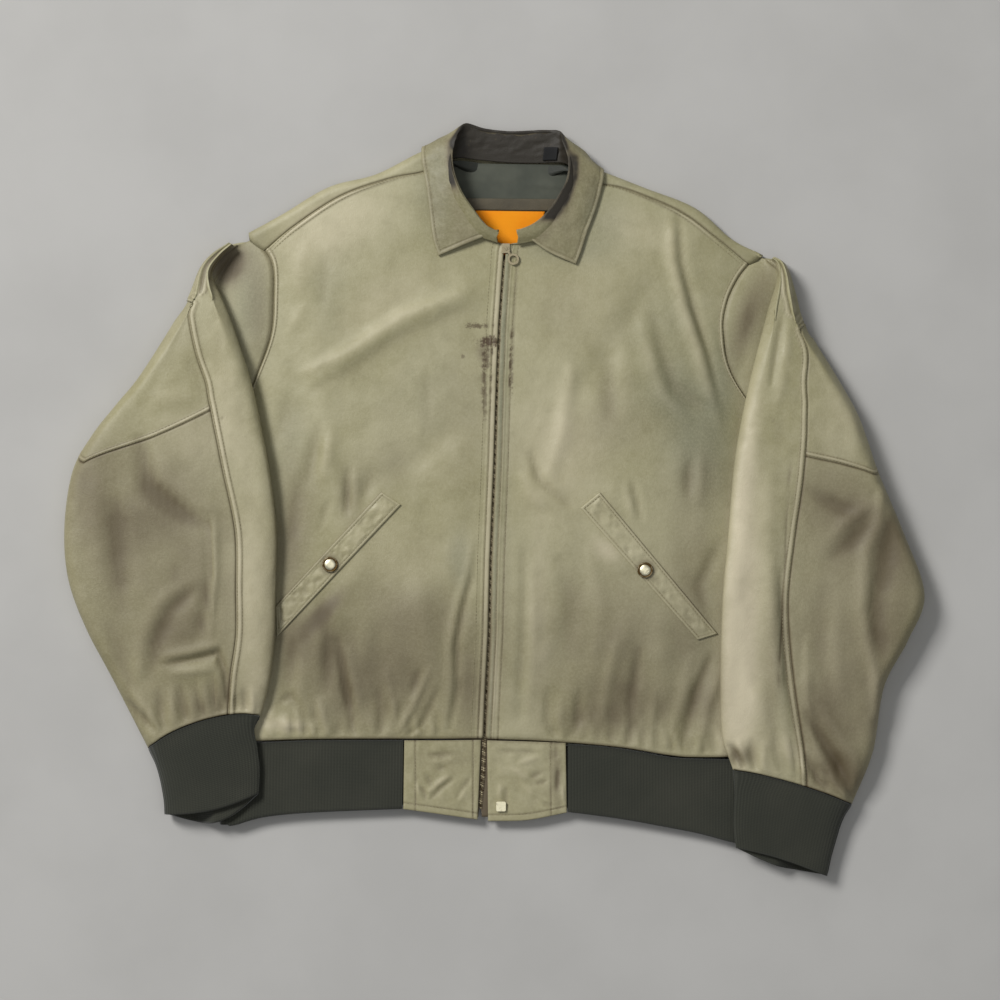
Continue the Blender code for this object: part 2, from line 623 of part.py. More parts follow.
def cuff_surface(side, around, v, inset=0.0):
    """Points in metres on the cuff, which starts with the shape of the sleeve's end."""
    last = len(STATIONS[side]) - 1
    end_w = np.interp(around, [0, 0.46, 0.54, 0.78, 1.0], [0.44, 0.79, 0.82, 1.0, 1.44])
    end = sleeve_surface(side, np.where(end_w > 1, end_w - 1, end_w), np.full_like(end_w, last))
    own = cuff_shape(side, around, v, inset)
    blend = step(v * 3.5)[..., None]
    start = cuff_shape(side, around, np.zeros_like(v))
    return own + (end - start) * (1 - blend)


def build_cuff(side, mat):
    v, around = np.meshgrid(np.linspace(0, 1, CUFF_ROWS),
                            np.linspace(0, 1, CUFF_COLS, endpoint=False), indexing="ij")
    outer = pull_back(cuff_surface(side, around, v), ["first_row"], gap=0.9 * MM)
    inner = pull_back(cuff_surface(side, around, v, KNIT), ["first_row"], gap=2.1 * MM)
    if side == "left":
        outer, inner = outer[:, ::-1], inner[:, ::-1]
    return wall("cuff_" + side, outer, KNIT, mat, closed=True, inner=inner)


# Waistband: one strip from the right tab round the back to the left tab

BAND_BOTTOM_RIGHT = [(219, 826), (232, 827), (260, 819), (299, 814.5), (350, 812), (402, 810)]
BAND_BOTTOM_LEFT = [(568, 813), (620, 820), (665, 828), (700, 835), (734, 844), (769, 850)]
BAND_TOP_RIGHT = [(219, 744.5), (240, 744), (299, 741), (350, 740.5), (403, 740.5)]
BAND_TOP_LEFT = [(568, 744), (620, 748.5), (670, 757.2), (700, 759), (735, 759.5), (770, 759)]
BAND_FRONT_COLS = 10


def band_bottom(x):
    """Lower edge of the waistband and tabs in front at x."""
    line = np.array(BAND_BOTTOM_RIGHT + BAND_BOTTOM_LEFT)
    return np.interp(x, line[:, 0], line[:, 1])


def band_section():
    """Columns of the strip: top and bottom places and the height of the knit's outer face."""
    top_right = even(BAND_TOP_RIGHT, BAND_FRONT_COLS)[::-1]
    bottom_right = even(BAND_BOTTOM_RIGHT, BAND_FRONT_COLS)[::-1]
    top_left = even(BAND_TOP_LEFT, BAND_FRONT_COLS)[::-1]
    bottom_left = even(BAND_BOTTOM_LEFT, BAND_FRONT_COLS)[::-1]
    columns = []
    for a, b in zip(top_right[:-1], bottom_right[:-1]):
        columns.append((a, b, WAIST_TOP))
    turn = np.linspace(0, np.pi, 7)
    for angle in turn:
        shift = np.array([8.0 * (1 - np.sin(angle)), 0])
        columns.append((top_right[-1] + shift, bottom_right[-1] + shift,
                        WAIST_TOP * (1 + np.cos(angle)) / 2))
    for share in np.linspace(0, 1, 14)[1:-1]:
        x_top = (1 - share) * top_right[-1][0] + share * top_left[0][0]
        x_bottom = (1 - share) * bottom_right[-1][0] + share * bottom_left[0][0]
        columns.append((np.array([x_top, hem_y(x_top) + 1.4]),
                        np.array([x_bottom, band_bottom(x_bottom) - 3]), 0.0))
    for angle in turn[::-1]:
        shift = np.array([-8.0 * (1 - np.sin(angle)), 0])
        columns.append((top_left[0] + shift, bottom_left[0] + shift,
                        WAIST_TOP * (1 + np.cos(angle)) / 2))
    for a, b in zip(top_left[1:], bottom_left[1:]):
        columns.append((a, b, WAIST_TOP))
    return columns


def build_waistband(mat):
    columns = band_section()
    rows = []
    for v in np.linspace(0, 1, 4):
        rows.append([place(*(a + (b - a) * v), z) for a, b, z in columns])
    grid = pull_back(np.array(rows), ALL_EDGES)
    return wall("waistband", grid, KNIT, mat)


TAB_RIGHT = {"top": [(404, 741), (440, 741), (481, 740.5)],
             "bottom": [(403, 810), (440, 815), (477.5, 820.5)]}
TAB_LEFT = {"top": [(487, 741), (525, 742), (566, 743.5)],
            "bottom": [(488, 822), (527, 821), (567, 813.5)]}


def tab_plan(tab, cols=6, rows=5):
    top, bottom = even(tab["top"], cols), even(tab["bottom"], cols)
    v = np.linspace(0, 1, rows)[:, None, None]
    return bottom[None] * (1 - v) + top[None] * v


def build_tab(side, mat):
    plan = tab_plan(TAB_RIGHT if side == "right" else TAB_LEFT)
    z = WAIST_TOP + 0.6 * np.sin(np.linspace(0, np.pi, plan.shape[1]))[None, :]
    outer = pull_back(place(plan[..., 0], plan[..., 1], z), ALL_EDGES, gap=0.3 * MM)
    return wall("waist_tab_" + side, outer, DOUBLED, mat)


# Collar. Each station across the strip: seam to the neck, roll, middle of the fall and its
# edge, in plan steps with a height in mm above the fronts (lies True) or the floor.

COLLAR = [
    ((491, 240, 3.0), (495, 233, 6.5), (467, 244, 5.2), (438.5, 256, 3.0), True),
    ((476, 234, 3.0), (485, 225, 8.5), (459, 229, 6.8), (433, 238, 3.0), True),
    ((462, 219, 3.0), (474, 211, 10.0), (451, 213, 7.8), (429.5, 212, 3.0), True),
    ((451, 202, 3.0), (462, 193, 11.0), (443, 194, 8.2), (427, 192, 3.0), True),
    ((446, 186, 3.0), (454.5, 174, 11.5), (438, 173, 8.4), (424, 174, 3.0), True),
    ((447, 172, 22.5), (452, 157, 29.0), (436, 155, 26.0), (421.5, 158, 21.5), False),
    ((449, 166, 20.5), (453, 147, 27.0), (436, 142, 20.0), (422.5, 145, 8.0), False),
    ((452, 160, 17.0), (456, 136, 24.0), (440, 137, 9.0), (434, 158, 0.3), False),
    ((460, 157, 11.0), (465, 122.5, 14.0), (457, 138, 1.2), (452, 178, 0.0), False),
    ((481, 159, 7.2), (485, 127.5, 10.0), (482, 155, 0.0), (482, 189, 0.0), False),
    ((509, 161.5, 7.0), (510, 130, 9.5), (510, 158, 0.0), (510, 192, 0.0), False),
    ((537, 162, 7.0), (540, 129, 9.5), (538, 156, 0.0), (538, 189, 0.0), False),
    ((556, 161.5, 9.0), (560, 130, 12.0), (563, 148, 0.3), (562, 182, 0.0), False),
    ((565, 163, 14.0), (563, 140, 22.0), (584, 150, 9.0), (584, 171, 0.3), False),
    ((571, 168, 18.5), (567, 150, 27.0), (588, 158, 20.5), (602, 167, 8.5), False),
    ((575, 178, 21.5), (569, 163, 28.5), (588, 168, 25.5), (604, 175, 21.0), False),
    ((576, 191, 3.0), (567, 179, 11.0), (586, 185, 8.2), (601, 192, 3.0), True),
    ((571, 206, 3.0), (560, 194, 11.0), (579, 205, 8.2), (595, 212, 3.0), True),
    ((560, 221, 3.0), (549, 211, 10.0), (569, 225, 7.4), (587, 233, 3.0), True),
    ((542, 235, 3.0), (536, 223.5, 8.5), (559, 243, 6.2), (581, 252, 3.0), True),
    ((525, 241, 3.0), (521, 233, 6.5), (547, 251.5, 5.0), (576, 264.5, 3.0), True),
]


def collar_curve(k, s):
    """Line k of the collar (seam, roll, middle or edge) at station s, in plan steps and mm."""
    points = []
    for row in COLLAR:
        x, y, z = row[k]
        points.append((x, y, z + (body_top(x, y) if row[4] else 0)))
    return smooth(points, s)


def collar_point(s, v):
    """Point in metres on the collar's outer face, v from the neck seam to the free edge."""
    seam, roll, middle, edge = (collar_curve(k, s) for k in range(4))
    rise = seam + (roll - seam) * 0.5 + np.array([0, 0, 1.0])
    points = np.array([seam, rise, roll, middle, edge])
    x, y, z = smooth(points, np.array(v * 4))
    return place(x, y, max(z, 0.0))


def build_collar(mat):
    stations = np.linspace(0, len(COLLAR) - 1, 2 * len(COLLAR) + 3)
    shares = [0, 0.2, 0.38, 0.46, 0.54, 0.63, 0.74, 0.87, 1.0]
    grid = np.array([[collar_point(s, v) for v in shares] for s in stations])
    return wall("collar", grid[:, ::-1], DOUBLED, mat)


# What shows in the neck

def strip_on_back(name, corners, above_mm, thickness, mat, cols, rows):
    """A flat piece on the inside of the back, above_mm over it; corners go round in plan."""
    a, b, c, d = (np.array(p, float) for p in corners)
    u = np.linspace(0, 1, cols)[None, :, None]
    v = np.linspace(0, 1, rows)[:, None, None]
    plan = (1 - v) * ((1 - u) * a + u * b) + v * ((1 - u) * d + u * c)
    z = under_neck(plan[..., 0], plan[..., 1]) + LEATHER / MM + above_mm
    return wall(name, place(plan[..., 0], plan[..., 1], z), thickness, mat)


def build_neck(lining, strip, label):
    """Lining, leather strip and label, which lie on each other inside the back."""
    strip_on_back("neck_lining", [(596, 262), (440, 262), (446, 172), (564, 178)],
                  LAID_ON + 1.0, LINING, lining, 9, 8)
    strip_on_back("neck_strip", [(572, 210), (455, 208.5), (455, 197), (572, 198)],
                  2 * LAID_ON + 2.0, 1.0 * MM, strip, 7, 3)
    strip_on_back("neck_label", [(544, 256), (476, 254), (475, 209.8), (545, 212)],
                  2 * LAID_ON + 2.0, 1.0 * MM, label, 5, 4)


def build_size_tab(mat):
    """A small tab on the inner face of the collar stand."""
    stations = np.linspace(11.25, 12.05, 4)
    shares = np.linspace(0.04, 0.24, 3)
    grid = np.array([[collar_point(s, v) for v in shares] for s in stations])[:, ::-1]
    outer = grid + normals(grid) * (0.65 * MM + 0.8 * MM)
    return wall("size_tab", outer, 0.8 * MM, mat)


# Zip

def build_tape(side, mat):
    """Tape under one front edge, from the neck to the foot of the tab."""
    sign = -1 if side == "right" else 1
    y = np.linspace(818, 246, 20)
    spread = 0.25 + 1.8 * step((268 - y) / 13) + 1.4 * step((y - 806) / 10)
    inner = zip_x(y) + sign * spread
    outer = zip_x(y) + sign * 14
    edges = [inner, outer] if side == "left" else [outer, inner]
    x = np.stack([edges[0], 0.5 * (edges[0] + edges[1]), edges[1]], axis=1)
    y2 = np.repeat(y[:, None], 3, axis=1)
    return wall("zip_tape_" + side, place(x, y2, tape_top(x, y2)), TAPE, mat)


def tape_top(x, y):
    """Height in mm of the tapes' outer face, under the leather or under the tabs."""
    under_front = body_top(x, y) - LEATHER / MM - 0.9
    under_tab = WAIST_TOP - DOUBLED / MM - 0.9
    return under_front + (under_tab - under_front) * step((y - 715) / 20)


def prism(name, plan, z0, z1, mat, holes=()):
    """Upright solid on a plan outline in metres, with through holes."""
    bm = bmesh.new()
    loops = [plan, *holes]
    edges = []
    for loop in loops:
        verts = [bm.verts.new((x, y, z0)) for x, y in loop]
        for i, vert in enumerate(verts):
            edges.append(bm.edges.new((vert, verts[(i + 1) % len(verts)])))
    bmesh.ops.triangle_fill(bm, use_beauty=True, use_dissolve=False, edges=edges)
    base = list(bm.faces)
    made = bmesh.ops.extrude_face_region(bm, geom=base)
    moved = [v for v in made["geom"] if isinstance(v, bmesh.types.BMVert)]
    bmesh.ops.translate(bm, verts=moved, vec=(0, 0, z1 - z0))
    bmesh.ops.recalc_face_normals(bm, faces=bm.faces)
    mesh = bpy.data.meshes.new(name)
    bm.to_mesh(mesh)
    bm.free()
    mesh.materials.append(mat)
    obj = bpy.data.objects.new(name, mesh)
    bpy.context.scene.collection.objects.link(obj)
    return obj


SLIDER_AT = (505.8, 248.5)     # plan place of the slider's middle
PULL_HEADING = np.radians(-56)  # direction in which the pull lies, from +X
PLATE = 1.1 * MM               # thickness of the slider's two plates
PLATE_CLEAR = 0.5 * MM
POST_WIDTH = 1.5 * MM
LOWER_PLATE_WIDTH = 6.0 * MM
BRIDGE_WIDTH = 1.8 * MM
BRIDGE_HALF = 1.7 * MM
TUNNEL_HALF = 0.85 * MM
TUNNEL_HEIGHT = 1.7 * MM
BRIDGE_HEIGHT = 2.4 * MM
BAR_HALF = 0.5 * MM
LOOP_HOLE = 2.8 * MM
LOOP_END = 3.6 * MM
RING_AT = 12.6 * MM            # from the hinge to the middle of the pull's ring
RING_HOLE = 3.5 * MM


def hinge_place():
    """Axis of the zip's pull, in the middle of the bar under the slider's bridge."""
    x, y, z = place(*SLIDER_AT, float(body_top(*SLIDER_AT)))
    return x, y, z + PLATE_CLEAR + PLATE + TUNNEL_HALF


def build_slider(mat):
    """Two plates on a post that runs between the tapes, with a bridge for the pull."""
    x, y, hinge_z = hinge_place()
    top = hinge_z - TUNNEL_HALF
    under = top - PLATE
    slot = PLATE_CLEAR * 2 + LEATHER + TAPE + 0.9 * MM
    half, post, low = SLIDER_WIDTH / 2, POST_WIDTH / 2, LOWER_PLATE_WIDTH / 2
    beam = [(-half, 0), (-half, -PLATE), (-post, -PLATE), (-post, -PLATE - slot),
            (-low, -PLATE - slot), (-low, -2 * PLATE - slot), (low, -2 * PLATE - slot),
            (low, -PLATE - slot), (post, -PLATE - slot), (post, -PLATE), (half, -PLATE), (half, 0)]
    slider = prism("zip_slider", beam, -SLIDER_LENGTH / 2, SLIDER_LENGTH / 2, mat)
    slider.data.transform(Matrix.Translation((x, y, under + PLATE)) @ Matrix.Rotation(np.pi / 2, 4, "X"))
    arch = [(-BRIDGE_HALF, -0.4 * MM), (-TUNNEL_HALF, -0.4 * MM), (-TUNNEL_HALF, TUNNEL_HEIGHT),
            (TUNNEL_HALF, TUNNEL_HEIGHT), (TUNNEL_HALF, -0.4 * MM), (BRIDGE_HALF, -0.4 * MM),
            (BRIDGE_HALF, BRIDGE_HEIGHT), (-BRIDGE_HALF, BRIDGE_HEIGHT)]
    bridge = prism("bridge form", arch, -BRIDGE_WIDTH / 2, BRIDGE_WIDTH / 2, mat)
    bridge.data.transform(Matrix.Translation((x, y, top)) @ Matrix.Rotation(PULL_HEADING, 4, "Z")
                          @ Matrix.Rotation(np.pi / 2, 4, "X"))
    bridge.hide_render = True
    bridge.display_type = "WIRE"
    union = slider.modifiers.new("bridge", "BOOLEAN")
    union.operation = "UNION"
    union.object = bridge
    return slider


def build_pull(mat):
    """Flat pull: a loop round the bridge's leg, a neck and a ring; its origin is its hinge."""
    loop = 2.3 * MM
    neck = 1.0 * MM
    start = np.arcsin(neck / PULL_RING)
    turns = np.linspace(np.pi - start, -np.pi + start, 18)
    ring = [(RING_AT + PULL_RING * np.cos(a), PULL_RING * np.sin(a)) for a in turns]
    outline = [(-BAR_HALF, -loop), (-BAR_HALF, loop), (LOOP_END, loop), (LOOP_END + MM, neck)]
    outline += ring + [(LOOP_END + MM, -neck), (LOOP_END, -loop)]
    side = 1.35 * MM
    bridge_hole = [(BAR_HALF, -side), (BAR_HALF, side), (LOOP_HOLE, side), (LOOP_HOLE, -side)]
    ring_hole = [(RING_AT + RING_HOLE * np.cos(a), RING_HOLE * np.sin(a))
                 for a in np.linspace(0, 2 * np.pi, 16, endpoint=False)]
    pull = prism("zip_pull", outline, -BAR_HALF, BAR_HALF, mat, [bridge_hole, ring_hole])
    pull.location = hinge_place()
    pull.rotation_euler.z = PULL_HEADING
    return pull


def build_zip_box(mat):
    """Metal box at the foot of the zip, lying on the left tab."""
    x, y, z = place(501, 807, WAIST_TOP + 0.6 + 2 * LAID_ON)
    half = 4.6 * MM
    corner = 1.0 * MM
    outline = [(-half, corner - half), (corner - half, -half), (half - corner, -half),
               (half, corner - half), (half, half - corner), (half - corner, half),
               (corner - half, half), (-half, half - corner)]
    box = prism("zip_box", outline, 0, 1.6 * MM, mat)
    box.data.transform(Matrix.Translation((x, y, z)))
    return box


# Pocket welts and their snaps

def facet_height(grid, x, y):
    """Height in mm of a panel's facets at plan places."""
    a, b, c, d = grid[:-1, :-1], grid[:-1, 1:], grid[1:, 1:], grid[1:, :-1]
    corners = np.concatenate([np.stack([a, b, c], axis=-2).reshape(-1, 3, 3),
                              np.stack([a, c, d], axis=-2).reshape(-1, 3, 3)])
    p = place(x, y, 0).reshape(-1, 1, 3)
    p0, p1, p2 = corners[:, 0], corners[:, 1] - corners[:, 0], corners[:, 2] - corners[:, 0]
    area = p1[:, 0] * p2[:, 1] - p1[:, 1] * p2[:, 0]
    px, py = p[..., 0] - p0[:, 0], p[..., 1] - p0[:, 1]
    s = (px * p2[:, 1] - py * p2[:, 0]) / area
    t = (py * p1[:, 0] - px * p1[:, 1]) / area
    best = np.argmax(np.minimum(np.minimum(s, t), 1 - s - t), axis=1)
    pick = (np.arange(len(best)), best)
    z = p0[best, 2] + s[pick] * p1[best, 2] + t[pick] * p2[best, 2]
    return (z / MM).reshape(np.shape(x))


WELTS = {"right": [(381.5, 491.7), (401, 504.7), (276.5, 637), (275.5, 606)],
         "left": [(599.8, 492.2), (580.3, 508), (698, 640), (718, 634)]}
SNAPS = {"right": (330.3, 564.4), "left": (645, 570)}
WELT = 1.3 * MM
WELT_GAP = 0.6        # mm, as the welt bridges the front's facets


def build_welt(side, front, mat):
    """Slanted strip over the front; returns the grid of its outer face."""
    a, b, c, d = (np.array(p, float) for p in WELTS[side])
    u = np.linspace(0, 1, 4)[None, :, None]
    v = np.linspace(0, 1, 11)[:, None, None]
    plan = (1 - v) * ((1 - u) * a + u * b) + v * ((1 - u) * d + u * c)
    if side == "right":
        plan = plan[::-1]
    z = facet_height(front, plan[..., 0], plan[..., 1]) + WELT_GAP + WELT / MM
    grid = place(plan[..., 0], plan[..., 1], z)
    if side == "left":
        grid = grid[::-1, ::-1]
    wall("pocket_welt_" + side, grid, WELT, mat)
    return grid


def build_snap(side, welt, mat):
    """Domed cap with a rolled rim, turned about an upright axis."""
    cx, cy = SNAPS[side]
    turns = np.linspace(0, 2 * np.pi, 20, endpoint=False)
    rim = SNAP_RADIUS / PX
    seat = np.max(facet_height(welt, cx + rim * np.cos(turns), cy + rim * np.sin(turns)))
    x, y, z = place(cx, cy, seat + LAID_ON)
    profile = [(0.90, 0.0), (1.0, 0.25), (0.97, 0.55), (0.80, 0.72), (0.60, 0.88), (0.30, 1.0)]
    verts = [(x, y, z)]
    for r, h in profile:
        verts += [(x + SNAP_RADIUS * r * np.cos(a), y + SNAP_RADIUS * r * np.sin(a),
                   z + SNAP_HEIGHT * h) for a in turns]
    verts.append((x, y, z + SNAP_HEIGHT))
    count = len(turns)
    faces = [(0, 1 + (j + 1) % count, 1 + j) for j in range(count)]
    for i in range(len(profile) - 1):
        low = 1 + i * count
        faces += [(low + j, low + (j + 1) % count, low + count + (j + 1) % count,
                   low + count + j) for j in range(count)]
    top = 1 + (len(profile) - 1) * count
    faces += [(top + j, top + (j + 1) % count, len(verts) - 1) for j in range(count)]
    return add_object("snap_" + side, verts, faces, mat)


def clear_scene():
    for obj in list(bpy.data.objects):
        bpy.data.objects.remove(obj, do_unlink=True)


def main():
    clear_scene()
    olive = leather("worn olive leather", OLIVE)
    dark = leather("dark olive leather", (0.20, 0.18, 0.11))
    knit = leather("olive black rib knit", KNIT_COLOUR, 0.95)
    build_back(olive)
    fronts = {}
    for side in ("right", "left"):
        fronts[side] = build_front(side, olive)
        build_sleeve_front(side, olive)
        build_sleeve_back(side, "upper", olive)
        build_sleeve_back(side, "lower", olive)
        build_cuff(side, knit)
        build_tab(side, olive)
        build_tape(side, knit)
    build_waistband(knit)
    build_collar(dark)
    build_neck(leather("grey green lining", (0.075, 0.078, 0.058), 0.8), dark,
               leather("orange label cloth", (0.86, 0.27, 0.004), 0.75))
    build_size_tab(leather("black tab", (0.012, 0.012, 0.012), 0.7))
    metal = leather("aged brass", BRASS, 0.38, 1.0)
    build_slider(metal)
    build_pull(metal)
    build_zip_box(metal)
    for side in ("right", "left"):
        welt = build_welt(side, fronts[side], olive)
        build_snap(side, welt, metal)


main()
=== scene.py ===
"""Looks of the worn leather jacket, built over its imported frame.

Plan places are in steps of PX to the right and down, and heights in millimetres, as in the
frame's own source; place() turns them into metres. Sides are the wearer's: right is at -X.
Every panel is a grid of points on its outer face, given a thickness.
"""
import math

import bpy
import numpy as np
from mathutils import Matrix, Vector


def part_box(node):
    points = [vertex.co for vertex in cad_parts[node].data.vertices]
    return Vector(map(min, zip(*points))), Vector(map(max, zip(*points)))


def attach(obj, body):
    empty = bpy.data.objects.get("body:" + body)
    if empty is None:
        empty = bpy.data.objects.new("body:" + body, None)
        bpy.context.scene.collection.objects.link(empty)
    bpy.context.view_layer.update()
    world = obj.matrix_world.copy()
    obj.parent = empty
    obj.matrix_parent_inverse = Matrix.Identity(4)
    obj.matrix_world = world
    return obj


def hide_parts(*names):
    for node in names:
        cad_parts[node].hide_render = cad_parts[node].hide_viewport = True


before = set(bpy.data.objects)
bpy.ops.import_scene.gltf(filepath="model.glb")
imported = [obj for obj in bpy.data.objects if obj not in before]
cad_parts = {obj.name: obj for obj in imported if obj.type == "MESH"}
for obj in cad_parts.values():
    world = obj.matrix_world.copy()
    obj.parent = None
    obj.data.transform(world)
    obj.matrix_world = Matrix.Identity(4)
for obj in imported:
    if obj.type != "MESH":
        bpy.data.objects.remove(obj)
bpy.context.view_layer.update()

PX = 0.00095
MIDDLE = (494.1, 500.0)
MM = 0.001
LEATHER = 1.4 * MM
DOUBLED = 2.4 * MM
KNIT = 3.0 * MM
LINING = 1.0 * MM
TAPE = 1.0 * MM
LAID_ON = 0.35
BODY_PUFF = 20.0
SIDE_EDGE = 3.1
WAIST_TOP = 12.5
NECK_LIFT = 3.2
SNAP_RADIUS = 7.5 * MM
BODY = "jacket"


# Shape helpers

def place(x, y, z_mm):
    """Points in metres from plan places and heights."""
    x, y, z = np.broadcast_arrays(x, y, z_mm)
    return np.stack([(x - MIDDLE[0]) * PX, (MIDDLE[1] - y) * PX, z * MM], axis=-1)


def plan_of(points):
    """Plan places x and y of points in metres."""
    return points[..., 0] / PX + MIDDLE[0], MIDDLE[1] - points[..., 1] / PX


def smooth(points, s):
    """Cubic curve through points, read at s, which counts the points from 0."""
    pts = np.asarray(points, float)
    s = np.clip(np.asarray(s, float), 0, len(pts) - 1)
    i = np.minimum(s.astype(int), len(pts) - 2)
    t = (s - i).reshape(s.shape + (1,) * (pts.ndim - 1))
    pad = np.concatenate([[2 * pts[0] - pts[1]], pts, [2 * pts[-1] - pts[-2]]])
    a, b, c, d = pad[i], pad[i + 1], pad[i + 2], pad[i + 3]
    return 0.5 * (2 * b + (c - a) * t + (2 * a - 5 * b + 4 * c - d) * t**2
                  + (3 * b - a - 3 * c + d) * t**3)


def on_polyline(points, shares):
    """Points at the given shares of the length of the straight runs between points."""
    length = np.append(0, np.cumsum(np.linalg.norm(np.diff(points, axis=0), axis=1)))
    want = np.asarray(shares) * length[-1]
    return np.stack([np.interp(want, length, points[:, k]) for k in range(points.shape[1])], axis=-1)


def along(points, shares):
    """Points at the given shares of the length of the curve through points."""
    return on_polyline(smooth(points, np.linspace(0, len(points) - 1, 60 * len(points))), shares)


def step(t):
    """0 below 0, 1 above 1, with a soft rise between."""
    t = np.clip(t, 0, 1)
    return t * t * (3 - 2 * t)


def hump(d, centre, width):
    """A soft bump of height 1 at d = centre."""
    return np.exp(-((d - centre) / width) ** 2)


def shelf(d, start, end, soft=1.2):
    """1 from start to end, falling off softly on both sides."""
    return step((d - start) / soft + 0.5) * step((end - d) / soft + 0.5)


def shares_with_fine_ends(length, coarse, fine=0.8, band=11.0, ends=(True, True)):
    """Shares from 0 to 1 of a length in plan steps, close together near the chosen ends."""
    edge = np.arange(0, band, fine)
    start = edge if ends[0] else np.array([0.0])
    finish = length - edge[::-1] if ends[1] else np.array([float(length)])
    inner = length - (band if ends[0] else 0) - (band if ends[1] else 0)
    count = max(int(inner / coarse), 2)
    low = band if ends[0] else 0.0
    middle = low + inner * np.arange(0 if ends[0] else 1, count + (1 if ends[1] else 0)) / count
    values = np.concatenate([start, middle, finish])
    return np.unique(np.round(values / length, 6))


def coons(bottom, top, left, right, u, v):
    """Grid of plan places inside four edge curves read at the shares u and v."""
    u, v = u[None, :, None], v[:, None, None]
    corners = ((1 - v) * ((1 - u) * bottom[0] + u * bottom[-1])
               + v * ((1 - u) * top[0] + u * top[-1]))
    return ((1 - v) * bottom[None] + v * top[None]
            + (1 - u) * left[:, None] + u * right[:, None] - corners)


def noise(x, y, size, seed):
    """Value noise: random heights on a lattice of the given size, blended smoothly."""
    table = np.random.default_rng(seed).uniform(-1, 1, (96, 96))
    u, v = x / size + 31.7, y / size + 17.3
    i, j = np.floor(u).astype(int), np.floor(v).astype(int)
    f, g = step(u - i), step(v - j)
    i0, j0, i1, j1 = i % 96, j % 96, (i + 1) % 96, (j + 1) % 96
    return ((table[i0, j0] * (1 - f) + table[i1, j0] * f) * (1 - g)
            + (table[i0, j1] * (1 - f) + table[i1, j1] * f) * g)


def strokes(x, y, table):
    """Sum of strokes: each is a list of places, a half width and a height; ends fade out."""
    total = np.zeros(np.broadcast(x, y).shape)
    for points, width, height in table:
        line = np.array(points, float)
        lengths = np.linalg.norm(np.diff(line, axis=0), axis=1)
        starts = np.append(0, np.cumsum(lengths))
        near = np.full(total.shape, 1e9)
        share = np.zeros(total.shape)
        for (ax, ay), (bx, by), length, start in zip(line[:-1], line[1:], lengths, starts):
            t = np.clip(((x - ax) * (bx - ax) + (y - ay) * (by - ay)) / length**2, 0, 1)
            d = np.hypot(x - ax - t * (bx - ax), y - ay - t * (by - ay))
            share = np.where(d < near, (start + t * length) / starts[-1], share)
            near = np.minimum(near, d)
        taper = np.sin(np.pi * (0.08 + 0.84 * share)) ** 0.7
        total = total + height * taper * np.exp(-(near / (width * (0.45 + 0.55 * taper))) ** 2)
    return total


def patches(x, y, table):
    """Sum of soft oval patches: middle, half length, half width, angle in degrees, amount."""
    total = np.zeros(np.broadcast(x, y).shape)
    for cx, cy, length, width, degrees, amount in table:
        c, s = math.cos(math.radians(degrees)), math.sin(math.radians(degrees))
        u = ((x - cx) * c + (y - cy) * s) / length
        v = (-(x - cx) * s + (y - cy) * c) / width
        total = total + amount * np.exp(-(u * u + v * v) ** 1.2)
    return total


# Plan of the body

SIDE_RIGHT = [(238, 410), (232, 500), (226, 600), (223, 700), (224, 743), (220, 790), (219, 828)]
SIDE_LEFT = [(757, 410), (762, 500), (766, 600), (768, 700), (768, 757), (769, 800), (769, 850)]
SHOULDER_SEAM_RIGHT = [(294, 225), (341, 195), (390, 178), (417, 173), (445, 167)]
SHOULDER_SEAM_LEFT = [(578, 179), (604, 184), (631, 190), (681, 211), (717, 237)]
SHOULDER_TOP_RIGHT = [(243, 234), (280, 214), (328, 186), (376, 173), (424, 150), (440, 156)]
SHOULDER_TOP_LEFT = [(583, 166), (604, 171), (646, 187), (696, 207), (733, 238), (763, 253)]
NECK_BACK = [(445, 167), (452, 161), (463, 160), (481, 161.5), (509, 164), (545, 164.5),
             (562, 165), (572, 171), (578, 179)]
NECK_BACK_FLAT = [(440, 156), (450, 158), (463, 159), (481, 160.5), (509, 163), (545, 163.5),
                  (562, 162), (574, 163), (583, 166)]
NECK_FRONT_RIGHT = [(445, 167), (443, 185), (448, 203), (459, 221), (474, 236), (495, 243)]
NECK_FRONT_LEFT = [(578, 179), (580, 192), (574, 208), (563, 223), (544, 238), (519, 244)]
WAIST_RIGHT = [(224, 743), (299, 740), (380, 739.5), (440, 739.5), (482, 739)]
WAIST_LEFT = [(488, 739.5), (550, 742), (620, 748), (670, 756), (700, 758), (768, 757)]
ZIP = [(507, 243), (504.8, 253), (502, 290), (499.7, 324), (497.4, 382), (495, 462),
       (491, 560), (489.4, 634), (486, 703), (484.5, 739), (483, 776), (480, 808)]
HEM = [(224, 743), (496, 740), (692, 757), (768, 757)]
FOLDS = [
    ((455, 300), (330, 372), 16, 3.6), ((440, 440), (350, 520), 14, -2.6),
    ((350, 560), (300, 700), 15, 3.0), ((420, 600), (440, 725), 14, 3.2),
    ((380, 640), (372, 730), 11, -2.6), ((300, 330), (330, 470), 14, 2.6),
    ((682, 240), (702, 350), 13, 3.4), ((702, 350), (738, 450), 12, 2.8),
    ((640, 300), (590, 380), 15, -2.2), ((535, 480), (600, 530), 15, 3.0),
    ((690, 520), (690, 650), 14, -2.8), ((620, 640), (600, 740), 13, 3.0),
    ((560, 640), (550, 735), 12, -2.4), ((660, 660), (676, 745), 11, 2.6),
]
WELT_LINES = [((391, 498), (276, 621)), ((590, 500), (708, 637))]


def line_y(line, x):
    line = np.array(line)
    return np.interp(x, line[:, 0], line[:, 1])


def line_x(line, y):
    line = np.array(line)
    return np.interp(y, line[:, 1], line[:, 0])


